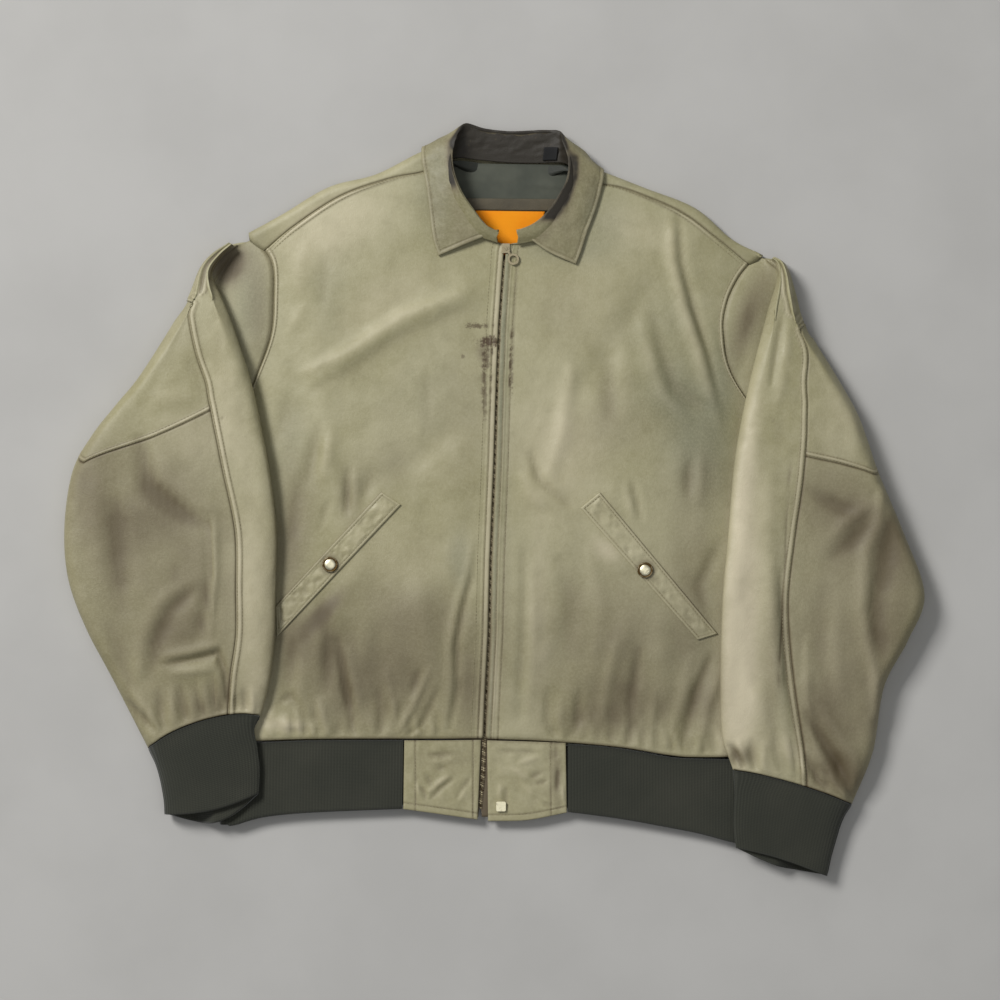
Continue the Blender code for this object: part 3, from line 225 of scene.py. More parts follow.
def folds(x, y, creases):
    """Sum of soft ridges and troughs, each along its own line."""
    total = np.zeros(np.broadcast(x, y).shape)
    for (x0, y0), (x1, y1), width, height in creases:
        length = np.hypot(x1 - x0, y1 - y0)
        on = ((x - x0) * (x1 - x0) + (y - y0) * (y1 - y0)) / length
        across = ((x - x0) * (y1 - y0) - (y - y0) * (x1 - x0)) / length
        beyond = np.maximum(np.maximum(-on, on - length), 0)
        total = total + height * np.exp(-(across / width) ** 2 - (beyond / (1.6 * width)) ** 2)
    return total


def away_from_welts(x, y, start=14, soft=26):
    """0 on the stiff pocket welts, 1 away from them."""
    near = np.full(np.broadcast(x, y).shape, 1e3)
    for (x0, y0), (x1, y1) in WELT_LINES:
        t = np.clip(((x - x0) * (x1 - x0) + (y - y0) * (y1 - y0))
                    / ((x1 - x0) ** 2 + (y1 - y0) ** 2), 0, 1)
        near = np.minimum(near, np.hypot(x - x0 - t * (x1 - x0), y - y0 - t * (y1 - y0)))
    return step((near - start) / soft)


def body_top(x, y):
    """Height in mm of the fronts' outer face, before the fine creases."""
    inside = np.minimum(x - line_x(SIDE_RIGHT, y), line_x(SIDE_LEFT, y) - x)
    inside = np.maximum(inside, 0)
    z = SIDE_EDGE + BODY_PUFF * (1 - np.exp(-inside / 45))
    ridge = line_y(SHOULDER_TOP_RIGHT[:5] + SHOULDER_TOP_LEFT[1:], x)
    z = z * (1 - 0.24 * np.exp(-np.maximum(y - ridge, 0) / 55))
    quiet = step((inside - 55) / 50) * step((y - 215) / 60) * step((742 - y) / 30)
    quiet = quiet * step(np.abs(x - line_x(ZIP, y)) / 28 - 0.3)
    z = z + quiet * away_from_welts(x, y) * folds(x, y, FOLDS)
    waist = step((y - 610) / 132)
    edge = np.minimum(z, WAIST_TOP)
    return z * (1 - waist) + edge * waist


def under_neck(x, y):
    """Lift in mm of the back over the collar's fall, which is folded under it."""
    return NECK_LIFT * step((x - 385) / 32) * step((625 - x) / 32) * step((236 - y) / 38)


# Fine creases of the fronts: places, half width in plan steps, height in mm

FRONT_CREASES = [
    ([(458, 296), (404, 316), (349, 352), (304, 372)], 8, 1.6),
    ([(462, 312), (410, 332), (352, 370), (312, 390)], 9, -1.3),
    ([(326, 258), (322, 305)], 9, -1.0), ([(304, 248), (298, 290)], 9, 1.0),
    ([(290, 330), (304, 305)], 7, 0.9), ([(286, 398), (276, 440)], 8, -1.4),
    ([(319, 425), (308, 480)], 7, -1.5), ([(332, 432), (322, 482)], 7, 1.0),
    ([(348, 470), (347, 516)], 3.4, -2.2), ([(355, 466), (356, 510)], 5, 1.3),
    ([(427, 372), (427, 430)], 9, -0.9), ([(371, 470), (366, 500)], 7, -1.2),
    ([(300, 480), (292, 540)], 8, -1.3), ([(329, 500), (322, 525)], 4, -1.0),
    ([(483, 480), (481, 531), (475, 568), (464.5, 603), (457, 643), (458, 690), (450, 729)],
     3.2, -2.2),
    ([(474, 540), (467, 575), (456, 612), (449, 650), (449, 690), (443, 726)], 5.0, 1.2),
    ([(338, 640), (343, 676), (350, 710), (356, 735)], 4.2, -2.6),
    ([(349, 650), (358, 700), (364, 733)], 5, 1.3),
    ([(322, 600), (330, 640), (326, 690)], 8, -1.6),
    ([(292, 642), (286, 700)], 6, -1.0), ([(303, 650), (300, 715)], 6, 1.0),
    ([(387, 670), (393, 706), (399, 730)], 3.6, 1.5), ([(430, 668), (410, 712), (396, 734)], 3, 1.6),
    ([(438, 690), (424, 722), (408, 737)], 3.2, -1.8), ([(420, 668), (412, 695)], 3.4, -1.2),
    ([(378, 690), (380, 734)], 4, -1.6), ([(366, 706), (372, 735)], 3.4, 1.2),
    ([(278, 704), (290, 697), (297, 706), (310, 722)], 4, -1.8),
    ([(262, 712), (280, 722), (298, 727)], 6, 2.0), ([(320, 700), (326, 734)], 4, 1.5),
    ([(312, 704), (318, 735)], 3.2, -1.6), ([(268, 690), (266, 716)], 4, -1.2),
    ([(679, 212), (682, 262), (694, 306), (710, 352), (721, 395), (737, 448)], 4.4, -2.4),
    ([(671, 210), (672, 262), (684, 310), (700, 356), (712, 398), (727, 448)], 7, 1.9),
    ([(654, 318), (664, 356), (675, 386), (694, 402), (716, 410)], 8, -1.9),
    ([(640, 320), (651, 362), (664, 396), (684, 418)], 8, 1.1),
    ([(608, 362), (610, 414)], 9, -1.3), ([(623, 350), (626, 420)], 9, 0.8),
    ([(571, 370), (560, 440), (547, 480)], 9, 1.7),
    ([(531, 452), (539, 478), (552, 492), (572, 506)], 4.2, -2.2),
    ([(524, 476), (531, 496), (545, 508)], 6, 1.1),
    ([(632, 482), (641, 518)], 3.6, -1.8), ([(626, 486), (633, 520)], 4.4, 1.0),
    ([(690, 462), (688, 498)], 6, -1.5), ([(701, 450), (700, 500)], 6, 1.2),
    ([(729, 300), (745, 338)], 4, -1.3), ([(724, 330), (738, 372)], 4, 1.0),
    ([(724, 540), (700, 585), (712, 640)], 7, -1.6), ([(712, 655), (697, 693), (684, 746)], 5, -2.4),
    ([(722, 668), (708, 706), (700, 750)], 5.5, 1.7), ([(690, 660), (682, 700), (668, 744)], 6, 1.3),
    ([(523.5, 552), (524, 610), (521, 672), (519, 720)], 5, -1.2),
    ([(533, 560), (533, 640), (530, 720)], 6, 0.9),
    ([(560, 560), (572, 600), (570, 660)], 9, -1.0), ([(590, 560), (600, 610), (596, 670)], 10, 1.2),
    ([(596, 536), (614, 552), (628, 570)], 6, 1.2), ([(616, 640), (606, 690), (600, 738)], 6, 1.4),
    ([(640, 650), (632, 700), (628, 744)], 5, -1.7), ([(655, 690), (650, 746)], 4, 1.3),
    ([(580, 690), (576, 738)], 4, -1.4), ([(548, 690), (546, 738)], 4, -1.3),
    ([(560, 700), (560, 738)], 4, 1.2),
]


def waist_gathers():
    """Short upright puckers in a row along the waist seam, their places drawn once."""
    random = np.random.default_rng(11)
    made = []
    for x in np.arange(262, 742, 7.5):
        if 446 < x < 540:
            continue
        x = x + random.uniform(-2.5, 2.5)
        foot = line_y(WAIST_RIGHT + WAIST_LEFT, x) - 2
        lean, length = random.uniform(-9, 9), random.uniform(12, 42)
        height = random.uniform(0.5, 1.5) * (1 if len(made) % 2 else -1)
        made.append(([(x, foot), (x + 0.4 * lean, foot - 0.5 * length), (x + lean, foot - length)],
                     random.uniform(2.6, 4.4), height))
    return made


GATHERS = waist_gathers()


def front_relief(x, y):
    """Fine creases, gathers and slight unevenness of the fronts in mm."""
    inside = np.minimum(x - line_x(SIDE_RIGHT, y), line_x(SIDE_LEFT, y) - x)
    clear = step((inside - 26) / 34) * step((y - 262) / 40)
    high = step((inside - 26) / 34) * step((y - 200) / 40) * step((np.abs(x - 512) - 96) / 30)
    clear = np.maximum(clear, high)
    clear = clear * step((np.abs(x - line_x(ZIP, y)) - 13) / 9) * (
        0.25 + 0.75 * away_from_welts(x, y, 12, 12))
    foot = line_y(WAIST_RIGHT + WAIST_LEFT, x)
    total = 1.5 * strokes(x, y, FRONT_CREASES) + 1.45 * strokes(x, y, GATHERS)
    low = step((y - 560) / 120)
    total = total + (0.5 + 0.5 * low) * noise(x, 0.6 * y, 26, 3)
    total = total + (0.25 + 0.35 * low) * noise(x, 0.6 * y, 12, 4)
    total = total + 0.14 * noise(x, y, 4.5, 5)
    return total * clear * (1 - 0.75 * step((y - foot + 7) / 7))


def front_z(x, y):
    """Height in mm of the finished fronts, on which welts and stitches are set."""
    return body_top(x, y) + front_relief(x, y)


# Sleeves: stations across each sleeve, as in the frame

STATIONS_RIGHT = [
    ((246, 236), (240, 239), (237, 241), (233, 239), (246, 236.5), 1.00, 18),
    ((262, 248), (226, 260), (221, 257), (213, 251), (262, 252), 1.00, 21),
    ((272, 266), (214, 280), (212, 274), (199, 267), (275, 272), 1.00, 25),
    ((273, 300), (203, 306), (221, 296), (187, 297), (276, 306), 0.98, 29),
    ((270, 336), (206, 340), (233, 326), (170, 327), (270, 345), 0.66, 32),
    ((256, 374), (216, 374), (248, 370), (138, 377), (257, 382), 0.41, 34),
    ((238.5, 409), (228, 401), (256, 400), (115, 405), (236.5, 410), 0.33, 35),
    ((212, 428), (236, 432), (263, 434), (91, 436), (208.5, 425.5), 0.27, 36),
    ((207, 470), (240, 471), (270, 471), (72, 472), (207, 470), 0.23, 36),
    ((212, 530), (247, 530), (277, 530), (64, 528), (212, 530), 0.19, 35),
    ((213, 590), (246, 590), (276, 590), (68, 580), (213, 590), 0.185, 34),
    ((213, 642), (245, 640), (275, 640), (86, 630), (213, 642), 0.20, 32),
    ((215, 695), (242, 686), (269, 685), (113, 682), (215, 695), 0.245, 29),
    ((219, 731), (240, 724), (260, 716.5), (147, 749), (219, 731), 0.285, 24),
]
STATIONS_LEFT = [
    ((765, 254), (769, 256), (770, 257), (772, 256), (765, 254.5), 1.00, 18),
    ((752, 262), (778, 271), (777, 266), (783, 260), (752, 265), 1.00, 21),
    ((739, 278), (786, 292), (776, 284), (790, 270), (738, 284), 1.00, 25),
    ((728, 302), (786, 310), (769, 306), (797, 294), (729, 312), 0.99, 29),
    ((724, 330), (786, 336), (763, 328), (806, 324), (729, 346), 0.955, 32),
    ((731, 370), (779, 374), (752, 370), (836, 374), (739, 380), 0.64, 34),
    ((756, 408.5), (768, 405), (744.5, 403), (857, 411), (758.5, 409), 0.55, 35),
    ((785, 434), (762, 436), (738, 436), (868, 440), (788, 431), 0.52, 36),
    ((788, 475), (760, 475), (732.5, 475), (880, 475), (788, 475), 0.475, 36),
    ((785, 530), (757, 530), (728, 530), (903, 530), (785, 530), 0.385, 35),
    ((783, 590), (755, 590), (722.5, 590), (925, 594), (783, 590), 0.325, 34),
    ((780, 640), (752, 640), (720.5, 640), (909, 640), (780, 640), 0.365, 32),
    ((777, 690), (750, 690), (720, 690), (885, 687), (777, 690), 0.45, 30),
    ((775, 745), (750, 742), (722, 735), (874, 752), (775, 745), 0.53, 27),
    ((774, 783), (753, 778), (733, 770), (853, 805), (774, 783), 0.61, 24),
]
STATIONS = {"right": STATIONS_RIGHT, "left": STATIONS_LEFT}
ARMHOLE_TOP = 1.15     # station at which the armhole meets the shoulder seam
UNDERARM = 6
INNER_ROLL, OUTER_ROLL, CLEAR = 8.0, 9.0, 1.5
TOP_FROM, TOP_TO = 0.48, 0.76
SECTION_KNOTS = np.array([0, 0.10, 0.18, 0.22, 0.26, 0.33, 0.40, 0.44, 0.48, 0.55, 0.62, 0.69,
                          0.76, 0.80, 0.84, 0.92, 1.0])
TABLE_STEP = 0.05
ELBOW = {"right": [(0.0, 6.3), (0.2, 7.1), (0.43, 7.8), (1.0, 6.3)],
         "left": [(0.0, 7.55), (0.2, 7.75), (0.43, 8.0), (1.0, 7.55)]}


def station_line(side, s, k):
    """Entry k of the side's stations, read smoothly at s."""
    column = [row[k] for row in STATIONS[side]]
    if k > 4:
        return smooth([[value] for value in column], s)[..., 0]
    return smooth(column, s)


def sleeve_base(x, y):
    """Height in mm of what the sleeve lies on: the floor, or the body's side."""
    inside = np.minimum(x - line_x(SIDE_RIGHT, y), line_x(SIDE_LEFT, y) - x)
    body = body_top(x, y)
    body = body + (WAIST_TOP + 1.0 - body) * step((y - 715) / 22)
    return (body + CLEAR) * step((inside + 32) / 25)


def sections(side, s):
    """Control points (stations, 17, 3) of the sleeve's sections in plan steps and mm."""
    seam, pleat, inner, outer, back = (station_line(side, s, k) for k in range(5))
    height = station_line(side, s, 6)
    tube = step(s - UNDERARM + 0.2)
    head = 1 - step((s - 1.2) / 2.4)

    def length(v):
        return np.maximum(np.hypot(v[:, 0], v[:, 1]), 1e-6)

    def shift(start, towards, most, share):
        v = towards - start
        return v / length(v)[:, None] * np.minimum(most, share * length(v))[:, None]

    def base(p):
        return sleeve_base(p[:, 0], p[:, 1])

    def at(plan, z):
        return np.concatenate([plan, (z + 0 * tube)[:, None]], axis=1)

    across = outer - inner
    inner_shift = across / length(across)[:, None] * np.minimum(
        INNER_ROLL, 0.3 * length(across))[:, None]
    outer_shift = across / length(across)[:, None] * np.minimum(
        OUTER_ROLL, 0.3 * length(across))[:, None]
    seam_z = body_top(seam[:, 0], seam[:, 1]) * (1 - tube) + base(seam) * tube
    low = base(inner) * tube + 0.36 * height * (1 - tube)
    mid = low + 0.5 * (height - low)
    pleat_z = (9.5 - 2.5 * head) * (1 - tube) + base(pleat) * tube
    turn = 3.0 * (1 - tube) * (1 - 0.7 * head)
    down = shift(pleat, seam, 3.5, 0.3)
    onward = shift(pleat, inner, 3.5, 0.3)
    near, middle = 0.5 * (seam + pleat), 0.5 * (pleat + inner)
    near_z = (0.5 * (seam_z + pleat_z) - 1.0) * (1 - tube) + base(near) * tube
    middle_z = (0.5 * (pleat_z + turn + low) + 0.5) * (1 - tube) + base(middle) * tube
    outer_z = 0.42 * height
    zero = 0 * height
    return np.stack([
        at(seam, seam_z), at(near, near_z), at(pleat + down, pleat_z - turn), at(pleat, pleat_z),
        at(pleat + onward, pleat_z + turn), at(middle, middle_z),
        at(inner + inner_shift, low + 0.3 * (mid - low) * (1 - tube)), at(inner, mid),
        at(inner + inner_shift, height - 0.12 * (height - mid)),
        at(inner + across * 0.25, height), at(inner + across * 0.5, height),
        at(inner + across * 0.75, height * 0.97),
        at(outer - outer_shift, outer_z + 0.84 * (height - outer_z)), at(outer, outer_z),
        at(outer - outer_shift, zero), at(0.5 * (outer + back), zero), at(back, base(back) * tube),
    ], axis=1)


section_tables = {}


def section_table(side):
    """Sections at close stations, with one more point past each end."""
    if side not in section_tables:
        rows = sections(side, np.arange(0, len(STATIONS[side]) - 1 + TABLE_STEP, TABLE_STEP))
        first, end = 2 * rows[:, :1] - rows[:, 1:2], 2 * rows[:, -1:] - rows[:, -2:-1]
        section_tables[side] = np.concatenate([first, rows, end], axis=1)
    return section_tables[side]


def sleeve_surface(side, w, s):
    """Points in metres on the sleeve's outer face, w round the section at station s."""
    table = section_table(side)
    w, s = np.broadcast_arrays(np.asarray(w, float), np.asarray(s, float))
    row = np.clip(s / TABLE_STEP, 0, len(table) - 1.001)
    i = row.astype(int)
    f = (row - i)[..., None]
    count = np.interp(w, SECTION_KNOTS, np.arange(len(SECTION_KNOTS)))
    k = np.minimum(count.astype(int), len(SECTION_KNOTS) - 2)
    t = (count - k)[..., None]
    a, b, c, d = (table[i, k + n] * (1 - f) + table[i + 1, k + n] * f for n in range(4))
    point = 0.5 * (2 * b + (c - a) * t + (2 * a - 5 * b + 4 * c - d) * t**2
                   + (3 * b - a - 3 * c + d) * t**3)
    last = len(STATIONS[side]) - 1
    bow = 13 * step((s - last + 2.5) / 2.5) if side == "right" else 5 * step(s - last + 1.5)
    share = np.where(w < 0.8, (w - 0.44) / 0.36, (1.0 - w) / 0.2)
    y = point[..., 1] - bow * np.sin(np.pi * np.clip(share, 0, 1))
    return place(point[..., 0], y, np.maximum(point[..., 2], 0.0))


def sleeve_normals(side, w, s):
    """Unit normals of the sleeve's outer face."""
    dw, ds = 0.004, 0.04
    across = sleeve_surface(side, w + dw, s) - sleeve_surface(side, w - dw, s)
    down = sleeve_surface(side, w, s + ds) - sleeve_surface(side, w, s - ds)
    cross = np.cross(across, down) * (1 if side == "right" else -1)
    return cross / np.linalg.norm(cross, axis=-1, keepdims=True)


def long_seam(side, s):
    """Place round the section of the seam between the sleeve's front and back panels."""
    share = np.minimum(station_line(side, s, 5), 1.0)
    return TOP_FROM + share * (TOP_TO - TOP_FROM) + 0.09 * step((share - 0.9) / 0.1)


SLEEVE_CREASES = {
    "right": [
        ([(142, 440), (150, 487), (186, 514), (208, 527)], 9, -3.0),
        ([(156, 438), (168, 478), (198, 500), (214, 508)], 9, 1.8),
        ([(209, 522), (210.5, 574), (204, 612), (200, 640)], 3.6, -3.0),
        ([(201, 530), (202, 574), (196, 606), (190, 632)], 6, 1.6),
        ([(217, 520), (217, 575), (212, 615), (208, 650)], 4.5, 1.3),
        ([(196, 588), (170, 612), (157, 642), (152, 680)], 8, -2.4),
        ([(182, 585), (158, 606), (144, 640), (138, 676)], 9, 1.5),
        ([(166, 664), (196, 659), (219, 653), (226, 672), (228, 700)], 4, -2.6),
        ([(166, 656), (196, 650), (218, 643)], 5, 1.5), ([(172, 673), (200, 669), (214, 668)], 5, 1.5),
        ([(181, 684), (183, 706), (188, 728)], 3.6, -2.0), ([(172, 690), (174, 714), (178, 732)], 4, 1.8),
        ([(194, 684), (200, 704), (207, 718)], 3.4, -1.8), ([(190, 690), (195, 722)], 3.4, 1.4),
        ([(212, 674), (214, 706)], 3.2, -1.8), ([(206, 680), (208, 716)], 3, 1.3),
        ([(158, 690), (162, 714), (166, 736)], 4, -1.9), ([(120, 698), (140, 716), (158, 732)], 4.4, -2.2),
        ([(132, 690), (150, 712), (160, 730)], 4.4, 1.6), ([(244, 690), (247, 712)], 3.2, -1.1),
        ([(252, 690), (254, 712)], 3.2, 0.9), ([(236, 696), (238, 712)], 3, -0.9),
        ([(118, 500), (120, 560), (124, 610)], 10, -1.8), ([(100, 470), (98, 520), (102, 590)], 10, 1.4),
        ([(140, 560), (146, 600)], 8, 1.2), ([(172, 560), (176, 590)], 5, -1.2),
        ([(150, 395), (170, 400), (195, 396)], 9, 1.0), ([(110, 625), (124, 665), (136, 700)], 8, -1.6),
    ],
    "left": [
        ([(782, 312), (776, 352), (770, 386)], 4, -1.4), ([(789, 310), (784, 360), (778, 400)], 6, 1.0),
        ([(879, 490), (877, 524), (864, 552), (861, 608), (866, 640), (875, 680), (876, 714)], 6, 2.6),
        ([(892, 520), (884, 560), (874, 610), (880, 650)], 10, -2.6),
        ([(808, 490), (826, 502), (852, 512)], 8, -2.0), ([(831, 536), (846, 522), (868, 506)], 7, 1.8),
        ([(826, 560), (846, 545), (862, 530)], 8, -1.4),
        ([(779, 575), (783, 620), (788, 680), (797, 730)], 5, -2.2),
        ([(769, 560), (771, 620), (776, 680), (786, 740)], 7, 1.5),
        ([(806, 715), (822, 740), (838, 765), (853, 795)], 5.5, -2.8),
        ([(816, 700), (832, 726), (850, 752), (862, 778)], 7, 2.0),
        ([(806, 640), (806, 690), (812, 735), (822, 762)], 6, 1.5),
        ([(836, 600), (834, 650), (842, 700)], 9, 1.2), ([(822, 590), (820, 640), (828, 690)], 9, -1.1),
        ([(730, 560), (729, 640), (731, 700)], 9, 0.8), ([(752, 520), (750, 600), (756, 680)], 10, -1.1),
        ([(727, 745), (736, 752), (742, 766)], 3.4, -2.0), ([(738, 742), (744, 756), (748, 766)], 3.4, 1.4),
        ([(752, 738), (752, 752), (755, 768)], 3.4, -1.4), ([(764, 740), (762, 756), (764, 768)], 3.2, 1.2),
        ([(774, 730), (776, 750), (779, 770)], 3.4, -1.8), ([(784, 734), (788, 752), (792, 774)], 3.4, 1.5),
        ([(806, 756), (814, 772), (824, 790)], 3.8, -1.8), ([(800, 762), (806, 778)], 3.4, 1.5),
        ([(826, 768), (836, 784), (846, 800)], 4, 1.7), ([(818, 764), (828, 776)], 3, -1.4),
        ([(770, 470), (766, 520), (770, 560)], 8, 0.8), ([(780, 420), (782, 450)], 8, -0.8),
    ],
}


def sleeve_relief(side, points, normal, s):
    """Fine creases and unevenness of a sleeve in mm, on its upper face only."""
    x, y = plan_of(points)
    up = step((normal[..., 2] - 0.25) / 0.5)
    last = len(STATIONS[side]) - 1
    down = step((s - 3.0) / 1.5)
    total = 1.45 * strokes(x, y, SLEEVE_CREASES[side])
    total = total + 0.6 * noise(x, 0.6 * y, 24, 7) + 0.35 * noise(x, 0.7 * y, 10, 8)
    gathers = noise(x, 0.25 * y, 5.5, 9) * step((s - last + 1.1) / 0.9)
    total = total + 0.12 * noise(x, y, 4.5, 10) + 1.3 * gathers
    return total * up * (0.2 + 0.8 * down) * (1 - 0.7 * step((s - last + 0.14) / 0.14))


# Meshes

stitch_lines = []


def add_mesh(name, verts, faces, material, node=None, values=None, uv=None):
    """An object from arrays of points and of three or four sided faces."""
    mesh = bpy.data.meshes.new(name)
    faces = np.asarray(faces)
    sides = faces.shape[1]
    mesh.vertices.add(len(verts))
    mesh.vertices.foreach_set("co", np.ascontiguousarray(verts, np.float32).ravel())
    mesh.loops.add(faces.size)
    mesh.loops.foreach_set("vertex_index", faces.astype(np.int32).ravel())
    mesh.polygons.add(len(faces))
    mesh.polygons.foreach_set("loop_start", np.arange(0, faces.size, sides, dtype=np.int32))
    mesh.polygons.foreach_set("use_smooth", np.ones(len(faces), dtype=bool))
    mesh.update(calc_edges=True)
    for key, array in (values or {}).items():
        data = mesh.attributes.new(key, "FLOAT", "POINT").data
        data.foreach_set("value", np.ascontiguousarray(array, np.float32).ravel())
    if uv is not None:
        layer = mesh.uv_layers.new(name="cloth")
        layer.data.foreach_set("uv", np.ascontiguousarray(uv[faces.ravel()], np.float32).ravel())
    mesh.materials.append(material)
    obj = bpy.data.objects.new(name, mesh)
    bpy.context.scene.collection.objects.link(obj)
    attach(obj, BODY)
    if node:
        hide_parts(node)
    return obj


def grid_normals(grid, closed=False):
    """Unit normals of a grid: column step crossed with row step."""
    if closed:
        across = np.roll(grid, -1, axis=1) - np.roll(grid, 1, axis=1)
    else:
        across = np.gradient(grid, axis=1)
    cross = np.cross(across, np.gradient(grid, axis=0))
    return cross / np.maximum(np.linalg.norm(cross, axis=-1, keepdims=True), 1e-12)


def wall_faces(rows, cols, closed):
    """Quads of both faces of a wall and of its edges; the inner face's points come second."""
    last = cols if closed else cols - 1
    i, j = np.meshgrid(np.arange(rows - 1), np.arange(last), indexing="ij")
    k = (j + 1) % cols
    a, b, c, d = i * cols + j, i * cols + k, (i + 1) * cols + k, (i + 1) * cols + j
    size = rows * cols
    outer = np.stack([a, b, c, d], axis=-1).reshape(-1, 4)
    inner = (size + outer)[:, ::-1]
    j = np.arange(last)
    k = (j + 1) % cols
    top = (rows - 1) * cols
    ends = [np.stack([k, j, size + j, size + k], axis=-1),
            np.stack([top + j, top + k, size + top + k, size + top + j], axis=-1)]
    if not closed:
        i = np.arange(rows - 1)
        a, b = i * cols, (i + 1) * cols
        ends += [np.stack([a, b, size + b, size + a], axis=-1),
                 np.stack([b + cols - 1, a + cols - 1, size + a + cols - 1,
                           size + b + cols - 1], axis=-1)]
    return np.concatenate([outer, inner, *ends])


def wall(node, outer, thickness, material, closed=False, inner=None, values=None, uv=None,
         name=None):
    """A closed sheet between the outer grid and one thickness behind it."""
    rows, cols = outer.shape[:2]
    if inner is None:
        inner = outer - grid_normals(outer, closed) * thickness
    verts = np.concatenate([outer.reshape(-1, 3), inner.reshape(-1, 3)])
    both = {key: np.concatenate([v.ravel(), v.ravel()]) for key, v in (values or {}).items()}
    if uv is not None:
        uv = np.concatenate([uv.reshape(-1, 2)] * 2)
    return add_mesh(name or node + "_piece", verts, wall_faces(rows, cols, closed), material, node,
                    both, uv)


def edge_distances(grid):
    """Distances in plan steps of each point from its row's and its column's two ends."""
    x, y = plan_of(grid)

    def to(ax, ay):
        return np.hypot(x - ax, y - ay)

    return {"first_col": to(x[:, :1], y[:, :1]), "last_col": to(x[:, -1:], y[:, -1:]),
            "first_row": to(x[:1], y[:1]), "last_row": to(x[-1:], y[-1:])}


def sew(grid, distance, axis, offset, start=0.0, end=1.0, flip=False):
    """Keep the line at the given distance from an edge, for stitches, with its normals."""
    rows = grid if axis == 1 else grid.swapaxes(0, 1)
    far = distance if axis == 1 else distance.T
    if flip:
        rows, far = rows[:, ::-1], far[:, ::-1]
    j = np.clip(np.argmax(far > offset, axis=1), 1, far.shape[1] - 1)
    i = np.arange(len(rows))
    t = ((offset - far[i, j - 1]) / np.maximum(far[i, j] - far[i, j - 1], 1e-9))[:, None]
    line = rows[i, j - 1] * (1 - t) + rows[i, j] * t
    up = grid_normals(grid)
    up = up if axis == 1 else up.swapaxes(0, 1)
    up = up[:, ::-1] if flip else up
    count = len(line)
    keep = slice(int(start * count), max(int(end * count), 2))
    stitch_lines.append((line[keep], up[i, j][keep]))


STITCH_STEP = 3.3 * MM
STITCH_LENGTH = 2.5 * MM
STITCH_WIDTH = 0.62 * MM


def build_stitches(material):
    """Every stitch is a small pod: rings of five points along it, closed by tip points."""
    middles, directions, ups = [], [], []
    for line, up in stitch_lines:
        length = np.append(0, np.cumsum(np.linalg.norm(np.diff(line, axis=0), axis=1)))
        if length[-1] < 2 * STITCH_STEP:
            continue
        at = np.arange(STITCH_STEP, length[-1] - STITCH_STEP / 2, STITCH_STEP)

        def read(values, where):
            return np.stack([np.interp(where, length, values[:, k]) for k in range(3)], axis=-1)

        ahead = read(line, at + STITCH_LENGTH / 2) - read(line, at - STITCH_LENGTH / 2)
        middles.append(read(line, at))
        directions.append(ahead / np.linalg.norm(ahead, axis=1, keepdims=True))
        ups.append(read(up, at))
    middle, ahead, up = (np.concatenate(v) for v in (middles, directions, ups))
    aside = np.cross(up, ahead)
    aside /= np.linalg.norm(aside, axis=1, keepdims=True)
    up = np.cross(ahead, aside)
    rings = [(-0.36, 0.8), (0.0, 1.0), (0.36, 0.8)]
    turns = np.linspace(0, 2 * np.pi, 5, endpoint=False)
    parts = [middle - ahead * STITCH_LENGTH / 2]
    for share, size in rings:
        for turn in turns:
            parts.append(middle + ahead * share * STITCH_LENGTH
                         + aside * (size * 0.5 * STITCH_WIDTH * math.cos(turn))
                         + up * (size * 0.36 * STITCH_WIDTH * math.sin(turn) + 0.08 * MM))
    parts.append(middle + ahead * STITCH_LENGTH / 2)
    verts = np.stack(parts, axis=1).reshape(-1, 3)
    faces = []
    for k in range(5):
        n = (k + 1) % 5
        faces.append((0, 1 + n, 1 + k))
        for ring in (0, 5):
            faces += [(1 + ring + k, 1 + ring + n, 6 + ring + n),
                      (1 + ring + k, 6 + ring + n, 6 + ring + k)]
        faces.append((16, 11 + k, 11 + n))
    base = np.arange(len(middle))[:, None, None] * len(parts)
    return add_mesh("stitching", verts, (np.array(faces)[None] + base).reshape(-1, 3), material)


# Materials

class Socket:
    """A node's output with arithmetic on it: each operator adds one Math node."""

    def __init__(self, paint, output):
        self.paint = paint
        self.output = output

    def maths(self, operation, *values):
        return self.paint.node("ShaderNodeMath", {"operation": operation}, dict(enumerate(values)))

    def __add__(self, other):
        return self.maths("ADD", self, other)

    def __sub__(self, other):
        return self.maths("SUBTRACT", self, other)

    def __rsub__(self, other):
        return self.maths("SUBTRACT", other, self)

    def __mul__(self, other):
        return self.maths("MULTIPLY", self, other)

    def __truediv__(self, other):
        return self.maths("DIVIDE", self, other)

    def __pow__(self, other):
        return self.maths("POWER", self, other)

    __radd__ = __add__
    __rmul__ = __mul__

    def between(self, low, high):
        """0 below low, 1 above high, soft between."""
        return self.paint.node("ShaderNodeMapRange", {"interpolation_type": "SMOOTHSTEP"},
                               {"Value": self, "From Min": low, "From Max": high})


